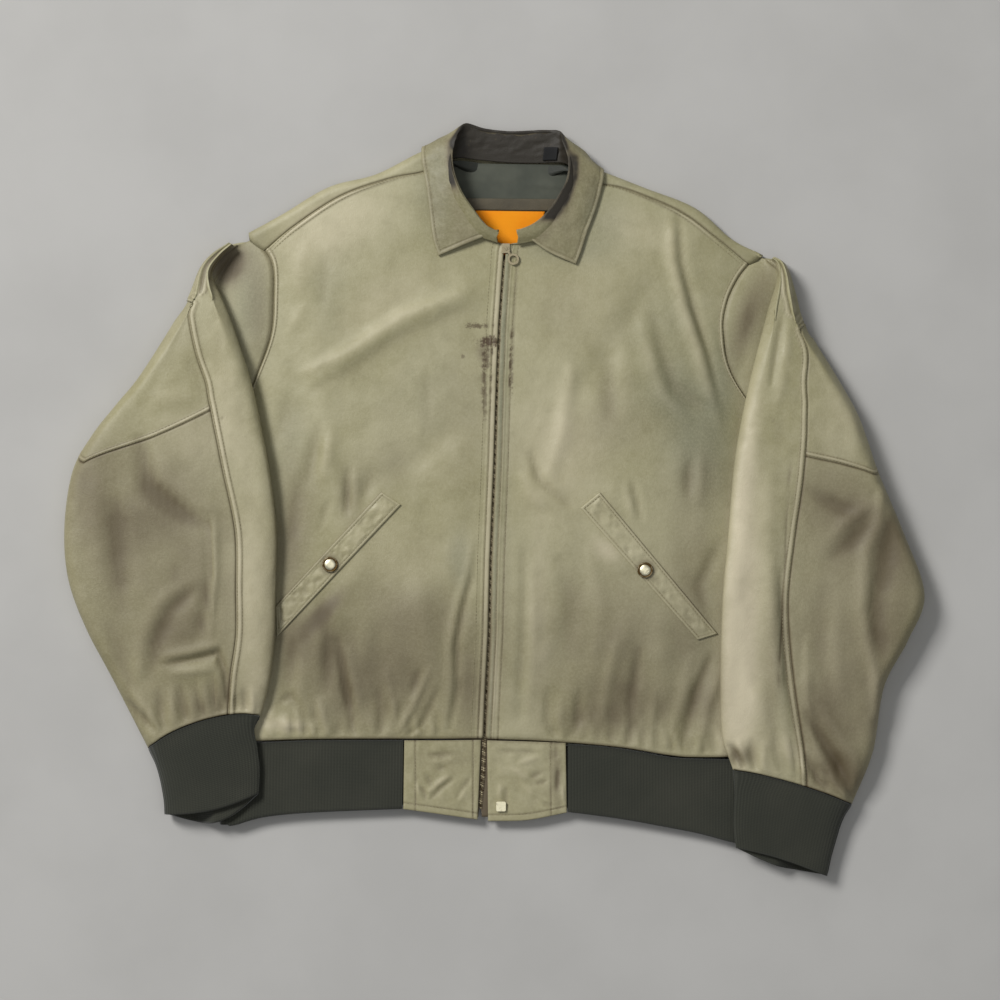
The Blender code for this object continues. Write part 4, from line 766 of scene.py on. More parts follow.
class Paint:
    """A material; node() adds any node and gives its output as a Socket."""

    def __init__(self, name, **constant):
        self.material = bpy.data.materials.new(name)
        self.material.use_nodes = True
        self.tree = self.material.node_tree
        self.shader = self.tree.nodes["Principled BSDF"]
        for key, value in constant.items():
            self.shader.inputs[key.replace("_", " ")].default_value = value
        self.place = self.node("ShaderNodeTexCoord", output="Object")

    def node(self, kind, settings=None, inputs=None, output=0):
        made = self.tree.nodes.new(kind)
        for key, value in (settings or {}).items():
            setattr(made, key, value)
        for key, value in (inputs or {}).items():
            self.feed(made.inputs[key], value)
        return Socket(self, made.outputs[output])

    def feed(self, slot, value):
        if isinstance(value, Socket):
            self.tree.links.new(value.output, slot)
        elif hasattr(value, "__len__") and len(value) == 3 and slot.type == "RGBA":
            slot.default_value = (*value, 1)
        else:
            slot.default_value = value

    def noise(self, scale, detail=3.0, roughness=0.55, where=None, distortion=0.0):
        return self.node("ShaderNodeTexNoise", None,
                         {"Vector": where or self.place, "Scale": scale, "Detail": detail,
                          "Roughness": roughness, "Distortion": distortion}, "Fac")

    def attribute(self, name):
        return self.node("ShaderNodeAttribute", {"attribute_name": name}, None, "Fac")

    def mix(self, factor, a, b):
        return self.node("ShaderNodeMix", {"data_type": "RGBA"}, {0: factor, 6: a, 7: b}, 2)

    def bump(self, height, strength, distance, normal=None):
        inputs = {"Height": height, "Strength": strength, "Distance": distance}
        if normal is not None:
            inputs["Normal"] = normal
        return self.node("ShaderNodeBump", None, inputs)

    def finish(self, colour, roughness, normal=None):
        self.feed(self.shader.inputs["Base Color"], colour)
        self.feed(self.shader.inputs["Roughness"], roughness)
        if normal is not None:
            self.feed(self.shader.inputs["Normal"], normal)
        return self.material


def rgb(r, g, b):
    """Linear colour from screen values of 0 to 255."""
    return tuple((c / 255 / 12.92) if c / 255 <= 0.04045 else ((c / 255 + 0.055) / 1.055) ** 2.4
                 for c in (r, g, b))


def leather_material(name, olive, faded, dark_dirt_and_shade, stains=()):
    """Worn leather: mottled olive, faded where rubbed and paler under painted highlights, brown where dirty
    and darker under painted shade, with a fine grain.
    """
    p = Paint(name, Specular_IOR_Level=0.45)
    worn, soil_and_shade, green = (p.attribute(key) for key in ("worn", "soil_and_shade", "green"))
    large = p.noise(9, 4, 0.6)
    middle = p.noise(48, 4, 0.62)
    fine = p.noise(420, 3, 0.6)
    specks = p.noise(230, 2, 0.5)
    colour = p.mix(large.between(0.35, 0.68), olive, faded)
    colour = p.mix(middle.between(0.42, 0.72) * 0.22, colour, rgb(174, 168, 136))
    colour = p.mix((1 - middle.between(0.28, 0.5)) * 0.22, colour, rgb(120, 114, 82))
    colour = p.mix(green * (0.5 + large * 0.6), colour, rgb(110, 112, 92))
    # Paler colour stands for real wear and for painted highlights on ridges, seam shelves and the sleeves'
    # inner rolls.
    worn_here = worn * (0.6 + middle * 0.8)
    colour = p.mix(worn_here, colour, rgb(208, 197, 168))
    # Darker browns stand for real dirt and stains and for painted shade in creases, seam grooves and the
    # sleeve heads' hollows.
    dirt_and_shade_amount = soil_and_shade * (0.6 + large * 0.5 + middle * 0.3)
    colour = p.mix(dirt_and_shade_amount * 1.5, colour, rgb(112, 102, 78))
    colour = p.mix(dirt_and_shade_amount.between(0.42, 1.1), colour, dark_dirt_and_shade)
    # Nearly black where the amount is highest: painted shade inside the neck opening, and the darkest stains.
    colour = p.mix(dirt_and_shade_amount.between(1.6, 2.0), colour, rgb(44, 46, 39))
    colour = p.mix(specks.between(0.66, 0.78) * (0.06 + dirt_and_shade_amount * 0.3), colour, rgb(88, 76, 52))
    colour = p.mix(fine.between(0.35, 0.7) * 0.12 * (1 - dirt_and_shade_amount.between(0.2, 0.9)), colour, rgb(196, 190, 160))
    blots = p.noise(330, 3, 0.65)
    height = p.node("ShaderNodeSeparateXYZ", None, {0: p.place}, 2)
    for x, y, half_x, half_y, amount in stains:
        off = p.node("ShaderNodeVectorMath", {"operation": "SUBTRACT"}, {0: p.place, 1: place(x, y, 0)})
        off = p.node("ShaderNodeVectorMath", {"operation": "MULTIPLY"},
                     {0: off, 1: (1 / (half_x * PX), 1 / (half_y * PX), 0)})
        far = p.node("ShaderNodeVectorMath", {"operation": "LENGTH"}, {0: off}, "Value")
        mask = (1.0 - far + (blots - 0.5) * 2.6).between(0.0, 0.7) * (2.0 - far).between(0.0, 0.6)
        colour = p.mix(mask * height.between(0.006, 0.009) * amount, colour, rgb(72, 54, 32))
    rough = 0.48 + fine * 0.12 - worn_here * 0.06 + dirt_and_shade_amount * 0.06 - (middle.between(0.55, 0.8)) * 0.10
    cells = p.node("ShaderNodeTexVoronoi", {"feature": "DISTANCE_TO_EDGE"},
                   {"Vector": p.place, "Scale": 620.0}, "Distance")
    grain = p.bump(cells.between(0.0, 0.35) * 0.6 + fine * 0.7, 0.3, 0.0004)
    creased = p.noise(70, 5, 0.62, distortion=1.2)
    normal = p.bump(creased + middle * 0.5, 0.30, 0.0011, grain)
    return p.finish(colour, rough, normal)


def knit_material():
    """Dark rib knit: loops along each rib from the piece's own map, with a little fuzz."""
    p = Paint("rib knit", Specular_IOR_Level=0.2, Sheen_Weight=0.25, Sheen_Roughness=0.5)
    uv = p.node("ShaderNodeUVMap", {"uv_map": "cloth"})
    across = p.node("ShaderNodeSeparateXYZ", None, {0: uv}, 0)
    down = p.node("ShaderNodeSeparateXYZ", None, {0: uv}, 1)
    turn = across * (2 * math.pi)
    rib = turn.maths("SINE", turn)
    lean = rib.maths("ABSOLUTE", rib)
    loops = (down * (2 * math.pi / 1.5) + lean * 1.6)
    loops = loops.maths("SINE", loops)
    fuzz = p.noise(900, 3, 0.7)
    broad = p.noise(14, 3, 0.6)
    colour = p.mix(broad.between(0.3, 0.75), rgb(45, 47, 39), rgb(58, 58, 49))
    # Painted highlight: the loops are lighter where they stand highest.
    colour = p.mix(loops.between(-1.0, 1.0) * 0.35 + fuzz * 0.2, colour, rgb(70, 70, 60))
    # Nearly black where the pieces carry painted shade or darker rib stripes.
    colour = p.mix(p.attribute("soil_and_shade") * 0.9, colour, rgb(20, 21, 18))
    return p.finish(colour, 0.92, p.bump(loops * 0.5 + fuzz * 0.8, 0.5, 0.0004))


def cloth_material(name, low, high, threads, strength=0.25, roughness=0.75):
    """Plain woven cloth with two crossing sets of threads."""
    p = Paint(name, Specular_IOR_Level=0.3)
    one = p.node("ShaderNodeTexWave", {"bands_direction": "X"},
                 {"Vector": p.place, "Scale": threads, "Distortion": 0.4}, "Fac")
    two = p.node("ShaderNodeTexWave", {"bands_direction": "Y"},
                 {"Vector": p.place, "Scale": threads, "Distortion": 0.4}, "Fac")
    weave = one * 0.5 + two * 0.5
    cloud = p.noise(30, 3, 0.6)
    colour = p.mix(cloud.between(0.3, 0.7), low, high)
    # Painted shade: darker between the threads, where the weave is lowest.
    colour = p.mix((1 - weave) * 0.2, colour, tuple(0.5 * c for c in low))
    colour = p.mix(p.attribute("soil_and_shade") * 0.85, colour, tuple(0.35 * c for c in low))
    return p.finish(colour, roughness, p.bump(weave, strength, 0.0002))


def thread_material():
    p = Paint("thread", Specular_IOR_Level=0.3)
    lightening = p.noise(60, 2, 0.5)
    colour = p.mix(lightening.between(0.35, 0.65), rgb(120, 112, 82), rgb(158, 150, 118))
    return p.finish(colour, 0.7, p.bump(p.noise(1500, 2), 0.4, 0.0002))


def metal_material(name, bright, dull, rough=0.32):
    """Aged metal: polished where touched, dull and brown in the hollows."""
    p = Paint(name, Metallic=1.0)
    tarnish = p.noise(260, 4, 0.6)
    soil_and_shade = p.attribute("soil_and_shade")
    mask = (tarnish.between(0.45, 0.7) * 0.45 + soil_and_shade).between(0.0, 1.0)
    colour = p.mix(mask, bright, dull)
    return p.finish(colour, rough + mask * 0.3, p.bump(p.noise(900, 3), 0.2, 0.0002))


OLIVE, FADED, DARK_DIRT_AND_SHADE = rgb(146, 140, 103), rgb(162, 156, 123), rgb(78, 66, 43)
STAINS = [(476, 326, 13, 3.6, 0.75), (489, 342, 14, 7, 0.95), (486, 362, 5, 15, 0.6),
          (484.5, 398, 3.4, 26, 0.5), (511, 370, 2.8, 26, 0.5), (463, 356, 3, 3, 0.5)]
body_leather = leather_material("worn olive leather", OLIVE, FADED, DARK_DIRT_AND_SHADE, STAINS)
collar_leather = leather_material("collar leather", rgb(120, 114, 80), rgb(133, 127, 94),
                                  rgb(44, 39, 30))
knit = knit_material()
lining_cloth = cloth_material("grey green lining", rgb(70, 73, 64), rgb(86, 88, 77), 330)
label_cloth = cloth_material("orange label cloth", rgb(255, 150, 4), rgb(255, 160, 10), 260, 0.15)
tab_cloth = cloth_material("black tab cloth", rgb(22, 22, 22), rgb(30, 30, 30), 300)
tape_cloth = cloth_material("zip tape cloth", rgb(96, 84, 66), rgb(116, 104, 84), 300)
thread = thread_material()
brass = metal_material("aged brass", rgb(250, 242, 208), rgb(96, 76, 44), 0.38)
dark_metal = metal_material("zip metal", rgb(176, 164, 134), rgb(70, 56, 38), 0.4)


# Tone of the leather: rubbed, dirty and greenish places, with painted shade in hollows and creases and
# painted highlights on ridges

SOIL_AND_SHADE_PATCHES = [
    (385, 668, 120, 84, 0, 0.30), (150, 535, 74, 100, 0, 0.12), (190, 640, 46, 80, 10, 0.10),
    (868, 610, 56, 130, 0, 0.16), (650, 665, 70, 84, 0, 0.24), (470, 430, 34, 90, 0, 0.14),
    (612, 430, 70, 30, -20, 0.14), (700, 600, 26, 130, 0, 0.12), (830, 510, 60, 50, 0, 0.14),
    (100, 560, 40, 120, 0, 0.12), (830, 735, 50, 74, 20, 0.17), (285, 560, 18, 110, 0, 0.25),
    (590, 640, 74, 90, 0, 0.26), (360, 610, 90, 60, 0, 0.10), (620, 730, 90, 30, 0, 0.10),
    (484, 352, 7, 9, 0, 0.5), (326, 610, 26, 9, -47, 0.5), (300, 520, 18, 60, 8, 0.28),
    (345, 690, 56, 46, 0, 0.24), (415, 668, 46, 64, 0, 0.18), (470, 690, 14, 55, 2, 0.32),
    (430, 612, 60, 24, 10, 0.14), (700, 640, 24, 80, 0, 0.10), (690, 560, 28, 60, 0, 0.16),
    # (228, 264) is painted shade in the right sleeve head's hollow.
    (712, 700, 14, 40, 10, 0.22), (300, 640, 30, 30, 0, 0.25), (228, 264, 17, 24, 30, 0.95),
    (165, 525, 56, 60, 35, 0.14), (95, 490, 22, 60, 5, 0.16), (190, 596, 26, 50, 10, 0.14),
    (165, 640, 34, 26, 0, 0.16), (210, 700, 60, 26, -15, 0.12), (860, 520, 36, 24, 10, 0.28),
    (893, 590, 22, 90, 8, 0.24), (820, 720, 26, 60, -15, 0.13), (846, 776, 26, 20, 40, 0.35),
    # (760, 300) is painted shade in the left sleeve head's hollow, (742, 330) in a crease by the armhole.
    (772, 650, 12, 90, 3, 0.32), (760, 300, 14, 50, 20, 0.42), (742, 330, 10, 40, 10, 0.30),
    (640, 700, 70, 20, 5, 0.18), (590, 720, 40, 14, 0, 0.2), (738, 756, 14, 10, 0, 0.5),
    (385, 470, 40, 26, 0, 0.16), (350, 500, 12, 24, 0, 0.3), (560, 300, 26, 30, 0, 0.10),
    (440, 200, 20, 40, 0, 0.1), (258, 300, 12, 60, 0, 0.3), (505, 600, 5, 140, 1, 0.10),
    (610, 400, 14, 36, 0, 0.14), (700, 480, 30, 30, 0, 0.2),
]
WEAR_AND_HIGHLIGHT_PATCHES = [
    # (250, 600) pales the right sleeve's inner roll: wear and painted highlight.
    (330, 225, 60, 30, -25, 0.42), (250, 600, 22, 110, 0, 0.42), (258, 700, 14, 40, 10, 0.30),
    # (741, 610), (740, 705) and (744, 470) pale the left sleeve's inner roll: wear and painted highlight.
    (741, 610, 19, 120, 3, 1.0), (740, 705, 24, 60, 0, 0.70), (744, 470, 10, 90, 6, 0.55),
    (560, 440, 46, 46, 0, 0.36), (590, 300, 60, 60, 0, 0.12), (430, 420, 60, 60, 0, 0.10),
    (400, 560, 60, 50, 0, 0.16), (606, 550, 14, 10, 30, 0.6), (560, 500, 40, 40, 0, 0.16),
    (640, 230, 40, 18, 25, 0.18), (285, 726, 22, 6, 5, 0.5), (230, 400, 18, 80, -10, 0.25),
    (200, 440, 40, 30, 0, 0.24), (150, 700, 26, 26, 0, 0.22), (205, 722, 34, 8, -18, 0.45),
    (840, 640, 20, 80, 0, 0.18), (872, 690, 7, 60, 0, 0.45), (800, 752, 34, 12, 20, 0.30),
    (868, 516, 10, 20, -30, 0.4), (540, 620, 10, 90, 0, 0.28), (495, 680, 5, 50, 2, 0.55),
    (386, 300, 60, 24, -28, 0.22), (845, 420, 30, 60, 20, 0.15),
]
GREEN_PATCHES = [
    (700, 440, 34, 60, -10, 0.75), (670, 390, 30, 30, 0, 0.5), (720, 380, 16, 50, 0, 0.55),
    (440, 190, 26, 50, 0, 0.45), (600, 220, 30, 40, 0, 0.4), (250, 300, 20, 60, 0, 0.5),
    (460, 560, 12, 30, 0, 0.5), (560, 250, 40, 14, 0, 0.4), (330, 300, 20, 50, 0, 0.2),
    (700, 640, 20, 60, 0, 0.3), (780, 640, 8, 90, 0, 0.4), (430, 400, 50, 40, 0, 0.2),
    (660, 330, 40, 40, 0, 0.3), (290, 450, 20, 60, 0, 0.25), (505, 420, 6, 160, 0, 0.25),
]


def tones(points, relief, groove=0.0, normal=None):
    """Worn, soiled and greenish shares at points, from the patches and from the creases; the worn share also
    holds painted highlights and the soiled share painted shade.
    """
    x, y = plan_of(points)
    normal = grid_normals(points) if normal is None else normal
    facing = step((normal[..., 2] + 0.2) / 0.5)
    # Painted shade: crease troughs are darkened, and groove brings painted shade from seams and edges.
    soil_and_shade = patches(x, y, SOIL_AND_SHADE_PATCHES) * facing + 0.08 * np.maximum(-relief, 0) ** 0.8 + groove
    # Painted highlight: crease ridges are made paler.
    worn = patches(x, y, WEAR_AND_HIGHLIGHT_PATCHES) * facing + 0.08 * np.maximum(relief, 0)
    green = patches(x, y, GREEN_PATCHES) * facing
    return {"soil_and_shade": np.clip(soil_and_shade, 0, 1.2), "worn": np.clip(worn, 0, 1.2),
            "green": np.clip(green, 0, 1)}


def seam_profile(d, width=7.0, height=0.75):
    """Height in mm beside a seam: a rolled edge, then a shelf held down by two stitch lines."""
    return (height * shelf(d, 1.0, width, 1.6) - 0.55 * hump(d, 1.4, 0.9)
            - 0.5 * hump(d, width - 0.7, 0.9) - 0.5 * hump(d, 0.0, 0.8))


# Painted shade, with some dirt, in a seam's grooves: on the seam and beside its stitch lines.
def seam_shade_and_dirt(d, width=7.0):
    return (0.40 * hump(d, 0.0, 1.1) + 0.26 * hump(d, 1.6, 0.8)
            + 0.30 * hump(d, width - 0.5, 1.0))


# Painted highlight, with some wear, on the raised shelf between a seam's stitch lines.
def seam_highlight_and_wear(d, width=7.0):
    return 0.34 * shelf(d, 2.2, width - 1.4, 1.5)


def lift(grid, relief_mm, normal=None):
    """The grid with its points moved along its normals by relief in mm, never below the floor."""
    normal = grid_normals(grid) if normal is None else normal
    moved = grid + normal * (relief_mm * MM)[..., None]
    moved[..., 2] = np.maximum(moved[..., 2], 0.0)
    return moved


# Fronts

def without_corner(points, u):
    """The curve through points with its corner smoothed away, read at the shares u."""
    even = np.linspace(0, 1, 401)
    curve = along(points, even)
    weights = np.exp(-(np.arange(-90, 91) / 42.0) ** 2)
    padded = np.concatenate([2 * curve[0] - curve[90:0:-1], curve, 2 * curve[-1] - curve[-2:-92:-1]])
    soft = np.stack([np.convolve(padded[:, k], weights / weights.sum(), "valid") for k in (0, 1)], axis=1)
    return np.stack([np.interp(u, even, soft[:, k]) for k in (0, 1)], axis=1)


def build_front(side):
    right = side == "right"
    low = along(SIDE_RIGHT[:5] if right else SIDE_LEFT[:5], np.linspace(1, 0.1, 90))
    arm = station_line(side, np.linspace(6.0, ARMHOLE_TOP, 120), 0)
    v = shares_with_fine_ends(510, 3.1)
    outer_edge = on_polyline(np.concatenate([low, arm[1:]]), v)
    y = 739 + (244 - 739) * v
    end = station_line(side, np.array([ARMHOLE_TOP]), 0)[0]
    u = shares_with_fine_ends(250, 3.1)
    if right:
        points = np.concatenate([[end], SHOULDER_SEAM_RIGHT, NECK_FRONT_RIGHT[1:]])
        top = along(points, u)
        bottom = along(WAIST_RIGHT, u)
        edge = np.stack([line_x(ZIP, y) - 1.1, y], axis=-1)
        edge[-1], outer_edge[-1] = top[-1], top[0]
        bottom[0], bottom[-1] = outer_edge[0], edge[0]
        plan = coons(bottom, top, outer_edge, edge, u, v)
        zip_side, arm_side = "last_col", "first_col"
    else:
        points = np.concatenate([NECK_FRONT_LEFT[:0:-1], SHOULDER_SEAM_LEFT, [end]])
        top = along(points, u)
        bottom = along(WAIST_LEFT, u)
        edge = np.stack([line_x(ZIP, y) + 0.8, y], axis=-1)
        edge[-1], outer_edge[-1] = top[0], top[-1]
        bottom[0], bottom[-1] = edge[0], outer_edge[0]
        plan = coons(bottom, top, edge, outer_edge, u, v)
        zip_side, arm_side = "first_col", "last_col"
    calm = (v * (1 - step((v - 0.90) / 0.09)))[:, None, None]
    plan = plan + (without_corner(points, u) - top)[None] * calm * np.sin(np.pi * u)[None, :, None] ** 0.5
    x, y = plan[..., 0], plan[..., 1]
    base = place(x, y, body_top(x, y))
    far = edge_distances(base)
    relief = front_relief(x, y)
    armhole = step((430 - y) / 30)
    shoulder = step((250 - y) / 30) * step((np.abs(x - 512) - 74) / 14)
    beside_zip = far[zip_side]
    arm_d, top_d = far[arm_side], far["last_row"]
    relief = relief + armhole * seam_profile(arm_d, 6.0) + shoulder * seam_profile(top_d, 5.5)
    relief = relief + 0.5 * shelf(beside_zip, -2, 8.0, 1.6) - 0.45 * hump(beside_zip, 5.6, 0.9)
    relief = relief - 0.7 * hump(beside_zip, 0, 1.1) - 0.9 * hump(far["first_row"], 0, 1.6)
    pucker = noise(7 * np.ones_like(y), y, 2.6, 21 if right else 22)
    relief = relief + 0.22 * pucker * shelf(beside_zip, 1.0, 16, 6)
    # Painted shade in the seam grooves, beside the zip, along the zip's stitch line and at the waist seam.
    groove = armhole * seam_shade_and_dirt(arm_d, 6.0) + shoulder * seam_shade_and_dirt(top_d, 5.5)
    groove = groove + 0.5 * hump(beside_zip, 0, 1.0) + 0.42 * hump(beside_zip, 5.6, 0.9)
    groove = groove + 0.35 * hump(far["first_row"], 0, 1.8)
    if right:
        dots = (noise(0 * y, y, 1.9, 31) > 0.1) * step((y - 318) / 10) * step((430 - y) / 60)
        groove = groove + 0.75 * dots * hump(beside_zip, 12.5, 2.0)
        groove = groove + 0.5 * dots * hump(beside_zip, 5.6, 1.6)
    else:
        dots = (noise(0 * y, y, 1.9, 32) > 0.2) * step((y - 325) / 12) * step((410 - y) / 30)
        groove = groove + 0.75 * dots * hump(beside_zip, 11.5, 1.5)
        relief = relief - 0.4 * hump(beside_zip, 12.5, 0.9)
        groove = groove + 0.3 * hump(beside_zip, 12.5, 0.9)
    outer = lift(base, relief)
    tone = tones(base, relief, groove)
    # Painted highlight, with some wear, on the seam shelves.
    tone["worn"] = tone["worn"] + armhole * seam_highlight_and_wear(arm_d, 6.0) + shoulder * seam_highlight_and_wear(top_d, 5.5)
    strip = shelf(beside_zip, 0.8, 5.2, 1.2)
    tone["worn"] = tone["worn"] + (0.38 if right else -0.1) * strip
    tone["green"] = np.clip(tone["green"] + (0.0 if right else 0.55) * strip, 0, 1)
    tone["worn"] = np.clip(tone["worn"], 0, 1.2)
    inner = lift(base, np.minimum(relief, relief * 0.6)) - grid_normals(base) * LEATHER
    wall("front_" + side, outer, LEATHER, body_leather, inner=inner, values=tone)
    flip = zip_side == "last_col"
    sew(outer, beside_zip, 1, 5.6, flip=flip)
    sew(outer, beside_zip, 1, 12.5, flip=flip)
    sew(outer, arm_d, 1, 1.7, 0.66, 1.0, flip=not flip)
    sew(outer, arm_d, 1, 5.3, 0.66, 1.0, flip=not flip)
    span = (0.0, 0.58) if right else (0.42, 1.0)
    sew(outer, top_d, 0, 1.7, *span, flip=True)
    sew(outer, top_d, 0, 4.8, *span, flip=True)


# Back: flat on the floor, its shoulders coming over the ridge to the seams in front

def build_back():
    shares = np.linspace(0, 1, 46)
    ends = {side: station_line(side, np.array([ARMHOLE_TOP]), 0) for side in ("right", "left")}
    seam = np.concatenate([along(np.concatenate([ends["right"], SHOULDER_SEAM_RIGHT]), shares)[:-1],
                           along(NECK_BACK, shares),
                           along(np.concatenate([SHOULDER_SEAM_LEFT, ends["left"]]), shares)[1:]])
    ridge = np.concatenate([along(SHOULDER_TOP_RIGHT, shares)[:-1], along(NECK_BACK_FLAT, shares),
                            along(SHOULDER_TOP_LEFT, shares)[1:]])
    cols = len(ridge)
    index = np.arange(cols) * 18 / (cols - 1)
    over = np.maximum(step((8 - index) / 2), step((index - 10) / 2))[:, None]
    toward = seam - ridge
    reach = np.linalg.norm(toward, axis=1, keepdims=True)
    inwards = toward / reach * np.minimum(reach * 0.85, 9.5)
    start = (ridge + inwards) * over + (ridge + np.array([0, 22.0])) * (1 - over)
    v = np.linspace(0, 1, 120)
    edges = []
    for side, line in (("right", SIDE_RIGHT), ("left", SIDE_LEFT)):
        low = along(line[:5], np.linspace(1, 0.1, 90))
        arm = station_line(side, np.linspace(6.0, 0.6, 120), 4)
        edges.append(on_polyline(np.concatenate([low, arm]), v))
    left, right = edges
    start[0], start[-1] = left[-1], right[-1]
    u = np.linspace(0, 1, cols)
    hem_x = left[0, 0] + (right[0, 0] - left[0, 0]) * u
    hem = np.stack([hem_x, line_y(HEM, hem_x)], axis=-1)
    floor = coons(hem, start, left, right, u, v)
    grid = [place(floor[..., 0], floor[..., 1], under_neck(floor[..., 0], floor[..., 1]))]
    top_z = body_top(seam[:, 0], seam[:, 1])
    for turn in np.linspace(0, 1, 31)[1:]:
        angle = np.pi * min(turn / 0.8, 1)
        plan_over = start - inwards * np.sin(angle) + (seam - start) * max(5 * turn - 4, 0)
        under = under_neck(plan_over[:, 0], plan_over[:, 1])
        z_over = under + (top_z - under) * (1 - np.cos(angle)) / 2
        plan_flat = start + (seam - start) * turn
        z_flat = under_neck(plan_flat[:, 0], plan_flat[:, 1])
        plan = plan_over * over + plan_flat * (1 - over)
        grid.append(place(plan[:, 0], plan[:, 1], z_over * over[:, 0] + z_flat * (1 - over[:, 0]))[None])
    base = np.concatenate(grid)[:, ::-1]
    normal = grid_normals(base)
    flat = (normal[..., 2] > 0) & (base[..., 2] < 4 * MM)
    normal[flat] = (0, 0, -1)
    x, y = plan_of(base)
    d = edge_distances(base)["last_row"]
    upper = step(normal[..., 2] / 0.4)
    relief = upper * (0.35 * noise(x, y, 16, 41) - 0.7 * hump(d, 0, 1.0))
    # Painted shade in the groove of the shoulder seam.
    tone = tones(base, relief, upper * 0.45 * hump(d, 0, 1.4))
    # Painted shade: the back's inside in the neck opening is made nearly black.
    in_neck = step((x - 440) / 8) * step((588 - x) / 8) * step((y - 157) / 3) * step((250 - y) / 20)
    tone["soil_and_shade"] = np.maximum(tone["soil_and_shade"], 2.4 * in_neck)
    outer = lift(base, relief, normal)
    wall("back", outer, LEATHER, body_leather, inner=outer - normal * LEATHER, values=tone)


# Sleeves

PANEL_GRIME = {"sleeve_front": 0.02, "sleeve_back_upper": 0.08, "sleeve_back_lower": 0.20}


def sleeve_panel(node, side, w, s, seam_sides, thread_rows=()):
    """A sleeve panel on a grid of w and s, with seams along the named sides."""
    base = sleeve_surface(side, w, s)
    normal = sleeve_normals(side, w, s)
    far = edge_distances(base)
    creases = sleeve_relief(side, base, normal, s)
    up = step((normal[..., 2] - 0.1) / 0.4)
    relief, groove, lightening = creases, 0.0, 0.0
    # Painted shade in the seam grooves and along the plain edges; painted highlight, with some wear, on the
    # seam shelves.
    for edge, width in seam_sides:
        if width:
            relief = relief + up * seam_profile(far[edge], width)
            groove = groove + up * seam_shade_and_dirt(far[edge], width)
            lightening = lightening + up * seam_highlight_and_wear(far[edge], width)
        else:
            relief = relief - up * 0.6 * hump(far[edge], 0, 1.0)
            groove = groove + up * 0.32 * hump(far[edge], 0, 1.3)
    outer = lift(base, relief, normal)
    inner = base + normal * (creases * 0.8 * MM)[..., None] - normal * LEATHER
    inner[..., 2] = np.maximum(inner[..., 2], 0.3 * MM)
    tone = tones(base, creases, groove, normal)
    x, y = plan_of(base)
    grime = next(amount for part, amount in PANEL_GRIME.items() if node.startswith(part))
    grime = grime * (1 + 0.5 * noise(x, y, 38, 111)) * up
    tone["soil_and_shade"] = np.clip(tone["soil_and_shade"] + grime, 0, 1.2)
    tone["worn"] = np.clip(tone["worn"] + lightening, 0, 1.2)
    for edge, axis, offset, start, end, flip in thread_rows:
        sew(outer, far[edge], axis, offset, start, end, flip)
        if side == "left":
            points, up_line = stitch_lines.pop()
            stitch_lines.append((points, -up_line))
    if side == "left":
        outer, inner = outer[:, ::-1], inner[:, ::-1]
        tone = {key: value[:, ::-1] for key, value in tone.items()}
    wall(node, outer, LEATHER, body_leather, inner=inner, values=tone)


def build_sleeve(side):
    last = len(STATIONS[side]) - 1
    s = 0.25 + (last - 0.25) * shares_with_fine_ends(530, 3.3, ends=(False, True))
    seam = long_seam(side, s)
    hidden = np.linspace(0, 0.44, 26)[:-1]
    top = shares_with_fine_ends(90, 2.9, ends=(False, True))
    w = np.concatenate([np.repeat(hidden[None], len(s), axis=0),
                        0.44 + (seam[:, None] - 0.44) * top[None]], axis=1)
    grid_s = np.repeat(s[:, None], w.shape[1], axis=1)
    sleeve_panel("sleeve_front_" + side, side, w, grid_s,
                 [("last_col", 6.8), ("last_row", 0), ("first_col", 0)],
                 [("last_col", 1, 1.7, 0.25, 1.0, True), ("last_col", 1, 6.1, 0.25, 1.0, True)])
    elbow_line = np.array(ELBOW[side])
    around = shares_with_fine_ends(170, 3.2, ends=(True, False))
    elbow = np.interp(around, elbow_line[:, 0], elbow_line[:, 1])
    for part in ("upper", "lower"):
        if part == "upper":
            share = shares_with_fine_ends(220, 3.3, ends=(False, True))[:, None]
            rows = 0.25 + share * (elbow - 0.25)
            seams = [("first_col", 0), ("last_row", 6.0)]
            threads = [("last_row", 0, 1.7, 0.0, 0.62, True), ("last_row", 0, 5.3, 0.0, 0.62, True)]
        else:
            share = shares_with_fine_ends(300, 3.3)[:, None]
            rows = elbow + share * (last - elbow)
            seams = [("first_col", 0), ("first_row", 0), ("last_row", 0)]
            threads = []
        begin = long_seam(side, rows[:, :1])
        fold = np.maximum(0.80, begin + 0.02)
        top_count = int(len(around) * 0.62)
        top_share = around[:top_count] / around[top_count - 1]
        under_share = np.linspace(0, 1, len(around) - top_count + 1)[1:]
        w = np.concatenate([begin + (fold - begin) * top_share[None],
                            fold + (1 - fold) * under_share[None]], axis=1)
        sleeve_panel(f"sleeve_back_{part}_{side}", side, w, rows, seams, threads)


# Cuffs and waistband: ribs along the cloth

CUFFS = {
    "right": {"inner": [(260, 718), (254, 730), (257.5, 748), (259, 770), (258.5, 794)],
              "outer": [(147, 751), (155, 767), (160, 784), (162.5, 800), (163.5, 815)],
              "bow": -12.0, "end_bow": 6.0, "under_more": 13.0, "heights": (25, 24, 23.5, 23, 22.5)},
    "left": {"inner": [(733, 771.5), (735, 790), (734, 810), (734, 830), (736, 848)],
             "outer": [(853, 806.5), (844, 820), (838, 838), (833, 856), (828, 877)],
             "bow": -4.0, "end_bow": -3.0, "under_more": 8.0, "heights": (25, 24, 23.5, 23, 22.5)},
}
RIB_STEP = 2.9 * MM
RIB_HEIGHT = 0.42


